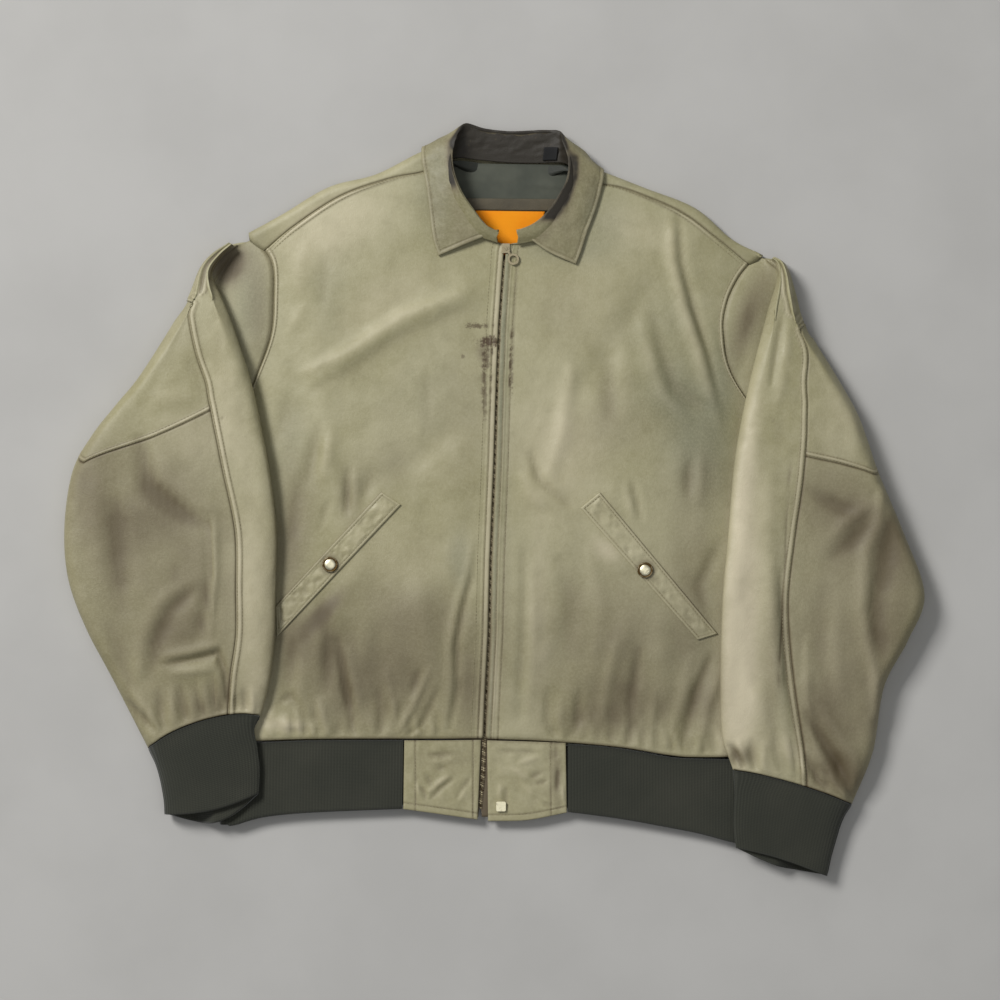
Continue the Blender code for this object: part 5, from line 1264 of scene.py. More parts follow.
def cuff_shape(side, around, v, inset=0.0):
    """Points on the cuff, around from the inner fold over the top, inset metres inside it."""
    cuff = CUFFS[side]
    inner, outer = (smooth(cuff[key], v * 4) for key in ("inner", "outer"))
    height = smooth([[h] for h in cuff["heights"]], v * 4)[..., 0] - inset / MM
    across = (outer - inner) / np.linalg.norm(outer - inner, axis=-1, keepdims=True)
    inner, outer = inner + across * inset / PX, outer - across * inset / PX
    angle = 2 * np.pi * around
    over = np.sin(angle) >= 0
    share = 0.5 - 0.5 * np.cos(angle)
    rise = np.sqrt(1 - np.abs(np.cos(angle)) ** np.where(over, 4, 8))
    plan = inner + (outer - inner) * share[..., None]
    base = sleeve_base(plan[..., 0], plan[..., 1]) + inset / MM
    mid = 0.5 * (height + base)
    down = np.stack([-across[..., 1], across[..., 0]], axis=-1) * (1 if side == "left" else -1)
    bow = cuff["bow"] * (1 - v) + cuff["end_bow"] * v + np.where(over, 0, cuff["under_more"] * v)
    plan = plan + down * (bow * np.sin(np.pi * share))[..., None]
    z = np.where(over, mid + (height - mid) * rise, mid - (mid - base) * rise)
    return place(plan[..., 0], plan[..., 1], z)


def cuff_surface(side, around, v, inset=0.0):
    """Points in metres on the cuff, which starts with the shape of the sleeve's end."""
    last = len(STATIONS[side]) - 1
    end_w = np.interp(around, [0, 0.46, 0.54, 0.78, 1.0], [0.44, 0.79, 0.82, 1.0, 1.44])
    end = sleeve_surface(side, np.where(end_w > 1, end_w - 1, end_w), np.full_like(end_w, last))
    blend = step(v * 3.5)[..., None]
    start = cuff_shape(side, around, 0 * v)
    return cuff_shape(side, around, v, inset) + (end - start) * (1 - blend)


def build_cuff(side):
    rows, cols = 34, 300
    v, around = np.meshgrid(0.008 + 0.992 * np.linspace(0, 1, rows),
                            np.linspace(0, 1, cols, endpoint=False), indexing="ij")
    base, inner = cuff_surface(side, around, v), cuff_surface(side, around, v, KNIT)
    if side == "left":
        base, inner = base[:, ::-1], inner[:, ::-1]
    middle = base[rows // 2]
    run = np.append(0, np.cumsum(np.linalg.norm(np.diff(middle, axis=0), axis=1)))
    count = round(run[-1] / RIB_STEP)
    phase = np.repeat((run / run[-1] * count)[None], rows, axis=0)
    normal = grid_normals(base, closed=True)
    edge = shelf(v, 0.03, 0.97, 0.05)
    relief = RIB_HEIGHT * (np.abs(np.cos(np.pi * phase)) - 0.5) * (0.3 + 0.7 * edge)
    x, y = plan_of(base)
    relief = relief + 0.5 * noise(x, y, 18, 51) * edge
    outer = base + normal * (relief * MM)[..., None]
    outer[..., 2] = np.maximum(outer[..., 2], 0)
    # Painted shade along the edge where the cuff meets the sleeve's end; also darker along the crest of each
    # rib.
    soil_and_shade = 0.7 * hump(v, 0, 0.03) + 0.35 * (0.5 - 0.5 * np.cos(2 * np.pi * phase + np.pi))
    length = np.linalg.norm(base[-1, 0] - base[0, 0])
    uv = np.stack([phase, v * length / MM], axis=-1)
    wall("cuff_" + side, outer, KNIT, knit, closed=True, inner=inner,
         values={"soil_and_shade": soil_and_shade * np.ones_like(v)}, uv=uv)


BAND_BOTTOM_RIGHT = [(219, 826), (232, 827), (260, 819), (299, 814.5), (350, 812), (402, 810)]
BAND_BOTTOM_LEFT = [(568, 813), (620, 820), (665, 828), (700, 835), (734, 844), (769, 850)]
BAND_TOP_RIGHT = [(219, 744.5), (240, 744), (299, 741), (350, 740.5), (403, 740.5)]
BAND_TOP_LEFT = [(568, 744), (620, 748.5), (670, 757.2), (700, 759), (735, 759.5), (770, 759)]

BAND_TURN = 8.0


def band_lines():
    """Top and bottom lines of the strip in plan steps and mm, from right tab to left tab."""
    shares = np.linspace(0, 1, 40)
    top_right, bottom_right = along(BAND_TOP_RIGHT, shares)[::-1], along(BAND_BOTTOM_RIGHT, shares)[::-1]
    top_left, bottom_left = along(BAND_TOP_LEFT, shares)[::-1], along(BAND_BOTTOM_LEFT, shares)[::-1]

    def at(points, z):
        return np.concatenate([points, np.full((len(points), 1), float(z))], axis=1)

    def turned(end, sign, angles):
        x = end[0] + sign * BAND_TURN * (1 - np.sin(angles))
        return np.stack([x, np.full_like(x, end[1]), WAIST_TOP * (1 + np.cos(angles)) / 2], axis=-1)

    turn = np.linspace(0, np.pi, 24)
    under = np.linspace(0, 1, 80)[1:-1]
    lines = []
    for right, left, bottom in ((top_right, top_left, False), (bottom_right, bottom_left, True)):
        x = right[-1][0] + BAND_TURN + (left[0][0] - right[-1][0] - 2 * BAND_TURN) * under
        if bottom:
            y = line_y(BAND_BOTTOM_RIGHT + BAND_BOTTOM_LEFT, x) - 3
        else:
            y = line_y(HEM, x) + 1.4
        lines.append(np.concatenate([
            at(right[:-2], WAIST_TOP), turned(right[-1], 1, turn),
            np.stack([x, y, 0 * x], axis=-1), turned(left[0], -1, turn[::-1]),
            at(left[2:], WAIST_TOP)]))
    return lines


def build_waistband():
    top, bottom = band_lines()
    run = np.append(0, np.cumsum(np.linalg.norm(
        np.diff(place(*(0.5 * (top + bottom)).T), axis=0), axis=1)))
    cols, rows = 1240, 20
    want = np.linspace(0, run[-1], cols)
    top = np.stack([np.interp(want, run, top[:, k]) for k in range(3)], axis=-1)
    bottom = np.stack([np.interp(want, run, bottom[:, k]) for k in range(3)], axis=-1)
    v = np.linspace(0.006, 0.996, rows)[:, None, None]
    points = top[None] + (bottom - top)[None] * v
    base = place(points[..., 0], points[..., 1], points[..., 2])
    normal = grid_normals(base)
    phase = np.repeat((want / RIB_STEP)[None], rows, axis=0)
    share = v[..., 0] * np.ones_like(phase)
    edge = shelf(share, 0.04, 0.97, 0.06)
    x, y = plan_of(base)
    relief = RIB_HEIGHT * (np.abs(np.cos(np.pi * phase)) - 0.5) * (0.3 + 0.7 * edge)
    relief = relief + edge * (0.7 * noise(x, 0.4 * y, 20, 61) - 0.2)
    outer = base + normal * (relief * MM)[..., None]
    outer[..., 2] = np.maximum(outer[..., 2], 0)
    # Painted shade in the grooves between the ribs and along the top edge, at the join with the body.
    soil_and_shade = 0.6 * hump(share, 0, 0.04) + 0.3 * (0.5 + 0.5 * np.cos(2 * np.pi * phase + np.pi))
    uv = np.stack([phase, share * 76.0], axis=-1)
    wall("waistband", outer, KNIT, knit, inner=base - normal * KNIT,
         values={"soil_and_shade": soil_and_shade}, uv=uv)


TABS = {"right": ([(404, 741), (440, 741), (481, 740.5)], [(403, 810), (440, 815), (477.5, 820.5)]),
        "left": ([(487, 741), (525, 742), (566, 743.5)], [(488, 822), (527, 821), (567, 813.5)])}


TAB_CREASES = [
    ([(453, 780), (442, 788), (431, 799)], 2.8, -1.5), ([(449, 776), (438, 784), (428, 793)], 3, 1.2),
    ([(419.5, 787), (425, 794), (425, 801)], 2.4, -1.4), ([(426, 774), (433, 790)], 3, -1.0),
    ([(428, 756), (455, 754.5)], 3.4, -1.0), ([(430, 763), (452, 761)], 3.4, 0.8),
    ([(470, 779), (463, 790), (457, 799)], 3, -1.1), ([(466, 787), (460, 800)], 2.6, 0.9),
    ([(417, 783), (419, 796)], 2.6, 1.1), ([(437, 770), (447, 768)], 3, -0.8),
    ([(530, 779), (542, 773)], 3, -1.0), ([(519, 764), (538, 757.5)], 3.4, 1.1),
    ([(498, 752), (538, 753)], 3, -0.8), ([(506.5, 790), (505.5, 810)], 2.6, -1.1),
    ([(536, 785), (547, 781.5)], 2.8, -1.0), ([(542, 803), (553, 807)], 2.6, -0.9),
    ([(508, 768), (519, 773), (530, 781)], 3.2, 0.8), ([(500, 786), (500, 800)], 2.8, 1.0),
    ([(556, 748), (556, 760)], 2.8, -0.9), ([(558, 770), (557, 790)], 2.8, -1.0),
    ([(563, 786), (565, 806)], 2.6, 1.0), ([(522, 786), (535, 796)], 3.4, 0.6),
]


def build_tab(side):
    top, bottom = TABS[side]
    u = shares_with_fine_ends(78, 1.6)
    v = shares_with_fine_ends(76, 1.6)
    t, b = along(top, u), along(bottom, u)
    plan = b[None] * (1 - v[:, None, None]) + t[None] * v[:, None, None]
    x, y = plan[..., 0], plan[..., 1]
    base = place(x, y, WAIST_TOP + 0.6 * np.sin(np.pi * u)[None] + 0 * x)
    far = edge_distances(base)
    inside = np.minimum(np.minimum(far["first_col"], far["last_col"]), far["first_row"])
    calm = step(inside / 5) * step(far["last_row"] / 3)
    relief = calm * (0.30 * noise(x + 0.3 * y, 0.8 * y, 9, 71) + 0.22 * noise(x, y - 0.5 * x, 5, 72)
                     + strokes(x, y, TAB_CREASES))
    lines = ((415, 1), (473, 1)) if side == "right" else ((551, 1), (493, 0))
    # Painted shade in the stitch groove, along the top edge and in the seam lines.
    groove = 0.25 * hump(far["first_row"], 6.5, 1.0) + 0.4 * hump(far["last_row"], 0, 1.6)
    relief = relief - 0.4 * hump(far["first_row"], 6.5, 0.9) - 0.5 * hump(inside, 0, 1.0)
    for at, strength in lines:
        relief = relief - 0.45 * strength * hump(x, at, 0.9)
        groove = groove + 0.3 * strength * hump(x, at, 1.0)
    # Painted shade in the troughs of the rumples; painted highlight on their ridges.
    rumple = np.maximum(-relief, 0)
    stain = patches(x, y, [(557, 775, 5, 36, 0, 0.4), (440, 760, 30, 14, 0, 0.14)])
    tone = {"soil_and_shade": np.clip(0.06 + groove + 0.26 * rumple + stain, 0, 1),
            "worn": np.clip(0.06 + 0.22 * np.maximum(relief, 0), 0, 1), "green": 0 * x}
    outer = lift(base, relief)
    wall("waist_tab_" + side, outer, DOUBLED, body_leather, inner=base - grid_normals(base) * DOUBLED,
         values=tone)
    sew(outer, far["first_row"], 0, 6.5)
    for at, strength in lines:
        if strength:
            sew(outer, far["first_col"], 1, at - (403.5 if side == "right" else 487.5))


# Collar

COLLAR = [
    ((498, 242, 3.0), (496, 233, 6.5), (467, 244, 5.2), (438.5, 256, 3.0), True),
    ((476, 234, 3.0), (485, 225, 8.5), (459, 229, 6.8), (433, 238, 3.0), True),
    ((462, 219, 3.0), (474, 211, 10.0), (451, 213, 7.8), (429.5, 212, 3.0), True),
    ((451, 202, 3.0), (462, 193, 11.0), (443, 194, 8.2), (427, 192, 3.0), True),
    ((446, 186, 3.0), (454.5, 174, 11.5), (438, 173, 8.4), (424, 174, 3.0), True),
    ((447, 172, 22.5), (452, 157, 29.0), (436, 155, 26.0), (421.5, 158, 21.5), False),
    ((449, 166, 20.5), (453, 147, 27.0), (436, 142, 20.0), (422.5, 145, 8.0), False),
    ((452, 160, 17.0), (456, 136, 24.0), (440, 137, 9.0), (434, 158, 0.3), False),
    ((460, 157, 11.0), (465, 122.5, 14.0), (457, 138, 1.2), (452, 178, 0.0), False),
    ((481, 159, 7.2), (485, 127.5, 10.0), (482, 155, 0.0), (482, 189, 0.0), False),
    ((509, 161.5, 7.0), (510, 130, 9.5), (510, 158, 0.0), (510, 192, 0.0), False),
    ((537, 162, 7.0), (540, 129, 9.5), (538, 156, 0.0), (538, 189, 0.0), False),
    ((556, 161.5, 9.0), (560, 130, 12.0), (563, 148, 0.3), (562, 182, 0.0), False),
    ((565, 163, 14.0), (563, 140, 22.0), (584, 150, 9.0), (584, 171, 0.3), False),
    ((571, 168, 18.5), (567, 150, 27.0), (588, 158, 20.5), (602, 167, 8.5), False),
    ((575, 178, 21.5), (569, 163, 28.5), (588, 168, 25.5), (604, 175, 21.0), False),
    ((576, 191, 3.0), (567, 179, 11.0), (586, 185, 8.2), (601, 192, 3.0), True),
    ((571, 206, 3.0), (560, 194, 11.0), (579, 205, 8.2), (595, 212, 3.0), True),
    ((560, 221, 3.0), (549, 211, 10.0), (569, 225, 7.4), (587, 233, 3.0), True),
    ((542, 237.5, 3.0), (536, 223.5, 8.5), (559, 243, 6.2), (581, 252, 3.0), True),
    ((517, 244, 3.0), (519, 232, 6.5), (547, 251.5, 5.0), (576, 264.5, 3.0), True),
]


def collar_surface(s, v):
    """Points (v, s, 3) in metres on the collar, v from the neck seam to the free edge."""
    lines = []
    for k in range(4):
        points = np.array([row[k] for row in COLLAR], float)
        lies = np.array([row[4] for row in COLLAR])
        points[:, 2] += np.where(lies, body_top(points[:, 0], points[:, 1]), 0)
        lines.append(smooth(points, s))
    seam, roll, middle, edge = lines
    rise = seam + (roll - seam) * 0.5 + np.array([0, 0, 1.0])
    points = smooth(np.stack([seam, rise, roll, middle, edge]), v * 4)
    return place(points[..., 0], points[..., 1], np.maximum(points[..., 2], 0.0))


def build_collar():
    s = shares_with_fine_ends(560, 2.6) * (len(COLLAR) - 1)
    v = np.concatenate([np.linspace(0, 0.56, 30), 1 - 0.44 * shares_with_fine_ends(36, 1.4)[::-1][1:]])
    base = collar_surface(s, v)
    far = edge_distances(base)
    normal = grid_normals(base)
    if normal[len(v) // 2, 12, 2] < 0:
        base = base[:, ::-1]
        s = s[::-1]
        far = edge_distances(base)
        normal = grid_normals(base)
    x, y = plan_of(base)
    share, station = v[:, None] + 0 * x, s[None] + 0 * x
    fall = step((share - 0.5) / 0.1)
    up = step((normal[..., 2] - 0.1) / 0.4)
    d = np.minimum(far["last_row"], np.minimum(far["first_col"], far["last_col"]) + 30 * (1 - fall))
    relief = up * fall * (0.35 * shelf(d, 0.8, 3.6, 1.2) - 0.45 * hump(d, 3.6, 0.9))
    relief = relief + up * fall * (0.35 * noise(x, y, 9, 81) + 0.2 * noise(x, y, 4, 82)) * step(d / 4)
    back = step((station - 5.4) / 1.0) * step((14.6 - station) / 1.0)
    left = step((station - 13.0) / 1.5)
    right = (1 - step((station - 6.0) / 1.0)) * step((station - 1.5) / 3)
    blot = 1 + 0.15 * noise(x, y, 7, 83) + 0.08 * noise(x, y, 3, 85)
    high = 1 - step((y - 178) / 24)
    low = 1 - step((y - 212) / 16)
    soil_and_shade = 1.3 * back * (1.0 - step((share - 0.50) / 0.10)) * blot
    soil_and_shade = soil_and_shade + 0.85 * left * (1 - back) * low * (1 - step((share - 0.60) / 0.08)) * blot
    soil_and_shade = soil_and_shade + 0.7 * right * (1 - step((share - 0.56) / 0.10)) * blot * high
    soil_and_shade = soil_and_shade + (1 - back) * 0.7 * (1 - step((share - 0.36) / 0.06)) * np.where(station > 10, low, high)
    # Darker along a line just past the roll on the left side; painted shade in the fall's stitch groove.
    soil_and_shade = soil_and_shade + 0.2 * left * hump(share, 0.62, 0.06) + up * fall * 0.22 * hump(d, 3.6, 0.9)
    wrinkles = noise(x + 0.6 * y, 2.0 * y, 8, 86) + 0.6 * noise(x, 1.6 * y, 3.6, 87)
    relief = relief + 0.55 * wrinkles * back * (1 - step((share - 0.42) / 0.1)) * step((share - 0.06) / 0.1)
    # Painted shade in the troughs of the wrinkles on the back of the stand.
    soil_and_shade = soil_and_shade + 0.25 * back * np.maximum(-wrinkles, 0) * (1 - fall)
    dirt_and_shade_amount = 0.10 + 0.12 * noise(x, y, 12, 84)
    # Paler along the fall's raised rim: wear and painted highlight.
    tone = {"soil_and_shade": np.clip(soil_and_shade + dirt_and_shade_amount * fall, 0, 1.3),
            "worn": np.clip(fall * up * (0.06 + 0.16 * hump(d, 1.4, 1.4)), 0, 1),
            "green": np.clip(0.5 * fall * patches(x, y, [(437, 180, 14, 50, 0, 1), (596, 215, 12, 30, 0, 1)]),
                             0, 1)}
    outer = lift(base, relief, normal)
    wall("collar", outer, DOUBLED, collar_leather, inner=base - normal * DOUBLED, values=tone)
    sew(outer, far["last_row"], 0, 3.6, 0.02, 0.98, flip=True)


# What shows in the neck

def strip_on_back(node, corners, above_mm, thickness, material, cols, rows, relief=None):
    """A flat piece on the inside of the back, above_mm over it; corners go round in plan."""
    a, b, c, d = (np.array(p, float) for p in corners)
    u = np.linspace(0, 1, cols)[None, :, None]
    v = np.linspace(0, 1, rows)[:, None, None]
    plan = (1 - v) * ((1 - u) * a + u * b) + v * ((1 - u) * d + u * c)
    x, y = plan[..., 0], plan[..., 1]
    edge = np.minimum(np.sin(np.pi * u[..., 0]), np.sin(np.pi * v[..., 0])) * np.ones_like(x)
    z = under_neck(x, y) + LEATHER / MM + above_mm + (relief(x, y) * step(edge * 6) if relief else 0)
    # Darker along each piece's edges.
    soil_and_shade = 0.5 * (1 - step(edge * 12)) * np.ones_like(x)
    if material is collar_leather:
        soil_and_shade = 0.8 + 0 * x
    zero = 0 * x
    wall(node, place(x, y, z), thickness, material,
         values={"soil_and_shade": soil_and_shade, "worn": zero, "green": zero})


def lining_relief(x, y):
    fold = hump(y - 0.16 * (x - 500), 178, 3.0) * step((x - 520) / 20)
    return 0.35 * noise(x, 2.2 * y, 22, 91) + 0.7 * fold


def build_neck():
    """Lining, leather strip and label, which lie on each other inside the back."""
    strip_on_back("neck_lining", [(596, 262), (440, 262), (446, 161.5), (572, 163.5)],
                  LAID_ON + 1.0, LINING, lining_cloth, 90, 60,
                  lambda x, y: lining_relief(x, y) * step((190 - y) / 8))
    strip_on_back("neck_strip", [(572, 210), (455, 208.5), (455, 197), (572, 198)],
                  2 * LAID_ON + 2.0, 1.0 * MM, collar_leather, 60, 10)
    strip_on_back("neck_label", [(544, 256), (476, 254), (475, 209.2), (545, 210.2)],
                  2 * LAID_ON + 2.0, 1.0 * MM, label_cloth, 36, 24)
    s, v = np.linspace(11.25, 12.05, 16), np.linspace(0.04, 0.24, 12)
    grid = collar_surface(s, v)[:, ::-1]
    outer = grid + grid_normals(grid) * 1.45 * MM
    if grid_normals(grid)[5, 5, 2] < 0:
        grid = grid[:, ::-1]
        outer = grid + grid_normals(grid) * 1.45 * MM
    wall("size_tab", outer, 0.8 * MM, tab_cloth, values={"soil_and_shade": 0 * outer[..., 0]})


# Zip

def tape_top(x, y):
    """Height in mm of the tapes' outer face, under the leather or under the tabs."""
    under_front = body_top(x, y) - LEATHER / MM - 0.9
    under_tab = WAIST_TOP - DOUBLED / MM - 0.9
    return under_front + (under_tab - under_front) * step((y - 715) / 20)


def build_tape(side):
    sign = -1 if side == "right" else 1
    y = np.linspace(818, 246, 200)
    spread = 0.25 + 1.8 * step((268 - y) / 13) + 1.4 * step((y - 806) / 10)
    near, far = line_x(ZIP, y) + sign * spread, line_x(ZIP, y) + sign * 14
    first, second = (near, far) if side == "left" else (far, near)
    x = first[:, None] + (second - first)[:, None] * np.linspace(0, 1, 10)[None]
    rows = np.repeat(y[:, None], 10, axis=1)
    wall("zip_tape_" + side, place(x, rows, tape_top(x, rows)), TAPE, tape_cloth,
         values={"soil_and_shade": 0 * x + 0.2})


TOOTH_STEP = 2.1 * MM


def build_teeth(side):
    """Each tooth is a chamfered block: a base ring, a wider ring and a top ring of four points."""
    sign = -1 if side == "right" else 1
    y = np.arange(808, 258, -TOOTH_STEP / PX) + (0.5 * TOOTH_STEP / PX if side == "left" else 0)
    x = line_x(ZIP, y)
    z = tape_top(x, y)
    middle = place(x, y, z)
    half_x, half_y = 1.25 * MM, 0.58 * MM
    centre_x = sign * 0.85 * MM
    rings = [(-0.95, 0.8), (-0.5, 1.0), (0.55, 1.0), (0.85, 0.72)]
    parts = []
    for height, size in rings:
        for cx, cy in ((-1, -1), (1, -1), (1, 1), (-1, 1)):
            parts.append(middle + np.array([centre_x + cx * half_x * size, cy * half_y * size,
                                            height * MM - 0.05 * MM]))
    verts = np.stack(parts, axis=1).reshape(-1, 3)
    faces = [(3, 2, 1, 0), (12, 13, 14, 15)]
    for ring in range(3):
        low = 4 * ring
        for k in range(4):
            n = (k + 1) % 4
            faces.append((low + k, low + n, low + 4 + n, low + 4 + k))
    base = np.arange(len(middle))[:, None, None] * 16
    values = {"soil_and_shade": np.repeat(0.35 + 0.3 * np.sin(np.arange(len(middle)) * 1.7), 16)}
    add_mesh("zip_teeth_" + side, verts, (np.array(faces)[None] + base).reshape(-1, 4), dark_metal,
             None, values)


# Pocket welts and their snaps

WELTS = {"right": [(381.5, 491.7), (401, 504.7), (276.5, 637), (275.5, 606)],
         "left": [(599.8, 492.2), (580.3, 508), (698, 640), (718, 634)]}
SNAPS = {"right": (330.3, 564.4), "left": (645, 570)}
WELT = 1.3 * MM


def build_welt(side):
    a, b, c, d = (np.array(p, float) for p in WELTS[side])
    u = shares_with_fine_ends(24, 1.2, 0.7, 7)[None, :, None]
    v = shares_with_fine_ends(172, 1.8, 0.8, 7)[:, None, None]
    plan = (1 - v) * ((1 - u) * a + u * b) + v * ((1 - u) * d + u * c)
    plan = plan[::-1] if side == "right" else plan[::-1, ::-1]
    x, y = plan[..., 0], plan[..., 1]
    base = place(x, y, front_z(x, y) + 0.45 + WELT / MM)
    far = edge_distances(base)
    inside = np.minimum(np.minimum(far["first_col"], far["last_col"]),
                        np.minimum(far["first_row"], far["last_row"]))
    sx, sy = SNAPS[side]
    seat = np.hypot(x - sx, y - sy)
    calm = step((inside - 3.4) / 3) * step((seat - 8) / 5)
    puffs = 0.6 * noise(x + y, x - y, 8, 101) + 0.5 * noise(x, y, 6, 102) + 0.35 * noise(x, y, 3.5, 103)
    relief = 0.95 * calm * puffs + 0.12 * shelf(inside, 0.8, 2.6, 1.0)
    relief = relief - 0.3 * hump(inside, 2.9, 0.8) - 0.35 * hump(inside, 0, 0.8)
    relief = relief * step(seat / 6 - 0.9)
    mouth = far["first_col" if side == "right" else "last_col"]
    # Painted shade in the stitch groove, in the troughs of the puffs, in a ring round the snap and in the
    # pocket's mouth.
    soil_and_shade = 0.20 * hump(inside, 2.9, 0.9) + 0.22 * np.maximum(-relief, 0) * calm
    soil_and_shade = soil_and_shade + 0.35 * hump(seat, 9, 2.2) + 0.5 * hump(mouth, 0, 0.9)
    # Painted highlight on the puffs and along the rolled rim.
    tone = {"soil_and_shade": np.clip(soil_and_shade + patches(x, y, SOIL_AND_SHADE_PATCHES) * 0.5, 0, 1.1),
            "worn": np.clip(0.12 + 0.16 * np.maximum(relief, 0) + 0.10 * hump(inside, 1.2, 1.2), 0, 1),
            "green": 0.5 * patches(x, y, GREEN_PATCHES)}
    outer = lift(base, relief)
    wall("pocket_welt_" + side, outer, WELT, body_leather, inner=base - grid_normals(base) * WELT,
         values=tone)
    sew(outer, far["first_col"], 1, 2.9)
    sew(outer, far["last_col"], 1, 2.9, flip=True)
    sew(outer, far["first_row" if side == "right" else "last_row"], 0, 2.9, flip=side == "left")


def build_snap(side):
    """A turned cap: rolled rim, groove and dome, its profile carried round an upright axis."""
    lo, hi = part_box("snap_" + side)
    cx, cy, z = (lo[0] + hi[0]) / 2, (lo[1] + hi[1]) / 2, lo[2]
    height = hi[2] - lo[2]
    radius = np.array([0, 0.90, 0.99, 1.0, 0.97, 0.90, 0.82, 0.77, 0.73, 0.68, 0.60, 0.50, 0.38, 0.24,
                       0.10, 0.0])
    rise = np.array([0, 0.0, 0.10, 0.30, 0.48, 0.56, 0.50, 0.38, 0.40, 0.56, 0.72, 0.84, 0.93, 0.98,
                     1.0, 1.0])
    soil_and_shade = np.array([0, 0.9, 0.9, 0.8, 0.7, 0.7, 0.9, 1.0, 0.9, 0.4, 0.0, 0.0, 0.0, 0.0, 0.0, 0.0])
    turns = np.linspace(0, 2 * np.pi, 64, endpoint=False)
    rings = slice(1, len(radius) - 1)
    r = SNAP_RADIUS * radius[rings, None]
    ring = np.stack([cx + r * np.cos(turns), cy + r * np.sin(turns),
                     z + height * rise[rings, None] + 0 * turns], axis=-1)
    verts = np.concatenate([[[cx, cy, z]], ring.reshape(-1, 3), [[cx, cy, z + height]]])
    count, levels = len(turns), ring.shape[0]
    j = np.arange(count)
    k = (j + 1) % count
    bands = [np.stack([1 + i * count + j, 1 + i * count + k, 1 + (i + 1) * count + k,
                       1 + (i + 1) * count + j], axis=-1) for i in range(levels - 1)]
    quads = np.concatenate(bands)
    tris = [quads[:, [0, 1, 2]], quads[:, [0, 2, 3]], np.stack([0 * j, 1 + k, 1 + j], axis=-1)]
    top = 1 + (levels - 1) * count
    tris.append(np.stack([top + j, top + k, 0 * j + len(verts) - 1], axis=-1))
    values = {"soil_and_shade": np.concatenate([[0], np.repeat(soil_and_shade[rings], count), [0]])}
    add_mesh(f"snap_{side}_cap", verts, np.concatenate(tris), brass, "snap_" + side, values)


# Assembly


# Width and length in metres, then the area in square metres. The area is half the surface of the
# modelled piece, measured on its own mesh, so it doesn't prove the cut. Last, what it rests on.
SHEETS = {
    "back": (0.56, 0.62, 0.270, ()), "collar": (0.42, 0.075, 0.0252, ("front_right", "front_left")),
    "front_right": (0.29, 0.60, 0.125, ("back",)), "front_left": (0.29, 0.60, 0.129, ("back",)),
    "sleeve_front_right": (0.20, 0.56, 0.052, ()), "sleeve_front_left": (0.20, 0.56, 0.064, ()),
    "sleeve_back_upper_right": (0.21, 0.28, 0.028, ()), "sleeve_back_upper_left": (0.21, 0.28, 0.023, ()),
    "sleeve_back_lower_right": (0.28, 0.36, 0.079, ()), "sleeve_back_lower_left": (0.28, 0.36, 0.070, ()),
    "cuff_right": (0.235, 0.085, 0.0177, ()), "cuff_left": (0.235, 0.085, 0.0169, ()),
    "waistband": (0.86, 0.083, 0.0668, ()), "waist_tab_right": (0.078, 0.078, 0.0055, ()),
    "waist_tab_left": (0.079, 0.079, 0.0059, ()), "zip_tape_right": (0.015, 0.545, 0.0076, ()),
    "zip_tape_left": (0.015, 0.545, 0.0076, ()),
    "pocket_welt_right": (0.025, 0.165, 0.0038, ("front_right",)),
    "pocket_welt_left": (0.026, 0.165, 0.0039, ("front_left",)),
    "neck_lining": (0.155, 0.10, 0.0129, ("back",)),
    "neck_strip": (0.113, 0.013, 0.0014, ("neck_lining",)),
    "neck_label": (0.068, 0.046, 0.0029, ("neck_lining",)),
    "size_tab": (0.0165, 0.0145, 0.0002, ("collar",)),
}


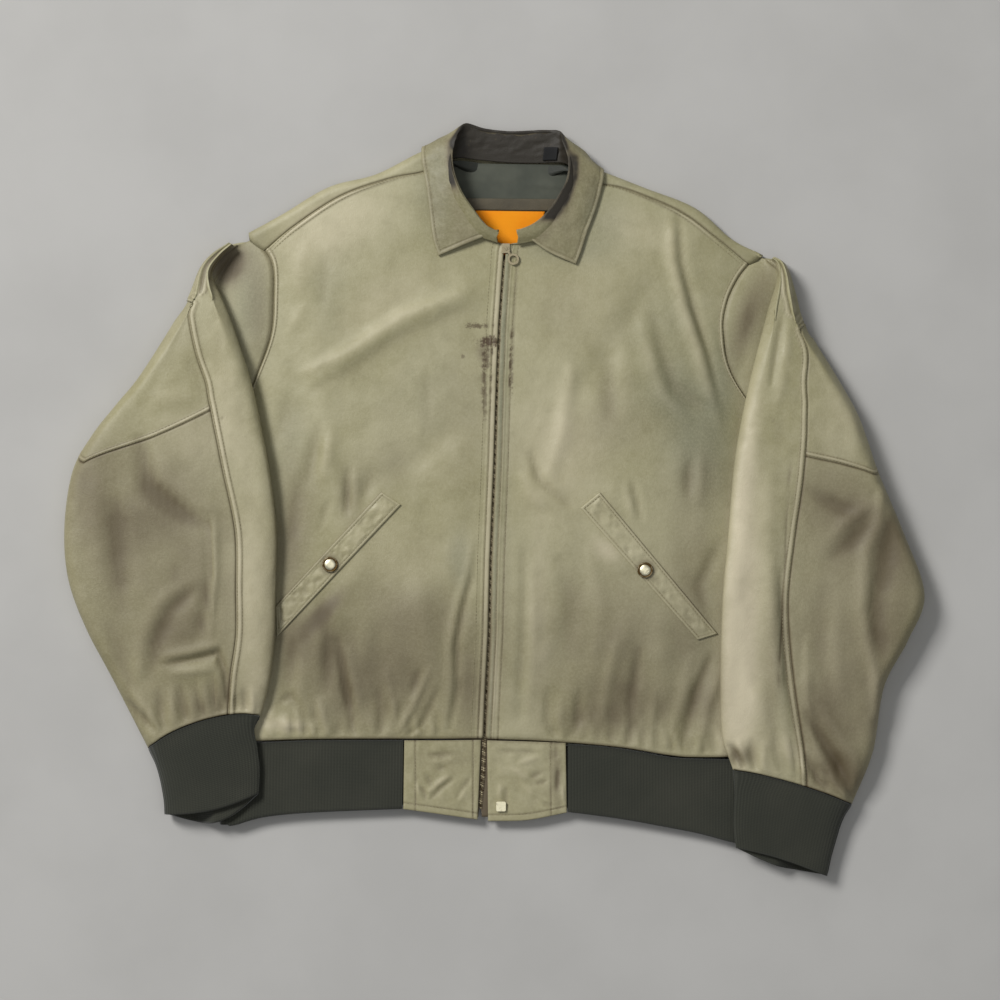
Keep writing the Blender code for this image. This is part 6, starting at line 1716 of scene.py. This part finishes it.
def main():
    build_back()
    for side in ("right", "left"):
        build_front(side)
        build_sleeve(side)
        build_cuff(side)
        build_tab(side)
        build_tape(side)
        build_teeth(side)
        build_welt(side)
        build_snap(side)
    build_waistband()
    build_collar()
    build_neck()
    build_stitches(thread)
    for node, metal in (("zip_slider", dark_metal), ("zip_pull", dark_metal), ("zip_box", brass)):
        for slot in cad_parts[node].material_slots:
            slot.material = metal
    for node, (width, length, area, under) in SHEETS.items():
        bpy.data.objects[node + "_piece"]


def add_camera():
    """Straight above the middle of the view, whose side is 0.95 m at the jacket's height."""
    camera = bpy.data.cameras.new("camera")
    obj = bpy.data.objects.new("camera", camera)
    bpy.context.scene.collection.objects.link(obj)
    distance = 3.0
    view_width = 1000 * PX
    subject_height = 0.02
    obj.location = ((500 - MIDDLE[0]) * PX, (MIDDLE[1] - 500) * PX, distance)
    camera.sensor_width = 36
    camera.lens = 36 * (distance - subject_height) / view_width
    bpy.context.scene.camera = obj


def add_floor():
    """A plain pale floor, slightly mottled."""
    half = 6.0
    mesh = bpy.data.meshes.new("floor")
    mesh.from_pydata([(-half, -half, 0), (half, -half, 0), (half, half, 0), (-half, half, 0)], [],
                     [(0, 1, 2, 3)])
    p = Paint("pale floor", Specular_IOR_Level=0.2)
    mesh.materials.append(p.finish(p.mix(p.noise(6, 4).between(0.3, 0.7), rgb(176, 174, 170),
                                         rgb(182, 180, 176)), 0.85))
    floor = bpy.data.objects.new("floor", mesh)
    floor.location.z = -0.0004
    bpy.context.scene.collection.objects.link(floor)


def add_light(name, place_m, size, power, aim=(0, 0, 0)):
    light = bpy.data.lights.new(name, "AREA")
    light.shape = "SQUARE"
    light.size = size
    light.energy = power
    obj = bpy.data.objects.new(name, light)
    direction = np.array(aim, float) - np.array(place_m, float)
    obj.location = place_m
    obj.rotation_euler = Vector(direction).to_track_quat("-Z", "Y").to_euler()
    bpy.context.scene.collection.objects.link(obj)


def add_lights():
    add_light("window", (-2.7, 2.3, 3.4), 1.5, 222)
    add_light("ceiling", (0.6, -0.4, 3.2), 2.6, 15)
    world = bpy.data.worlds.new("room")
    world.use_nodes = True
    world.node_tree.nodes["Background"].inputs["Color"].default_value = (0.92, 0.96, 1.0, 1)
    world.node_tree.nodes["Background"].inputs["Strength"].default_value = 0.23
    bpy.context.scene.world = world
    bpy.context.scene.view_settings.view_transform = "Standard"


main()
add_camera()
add_floor()
add_lights()
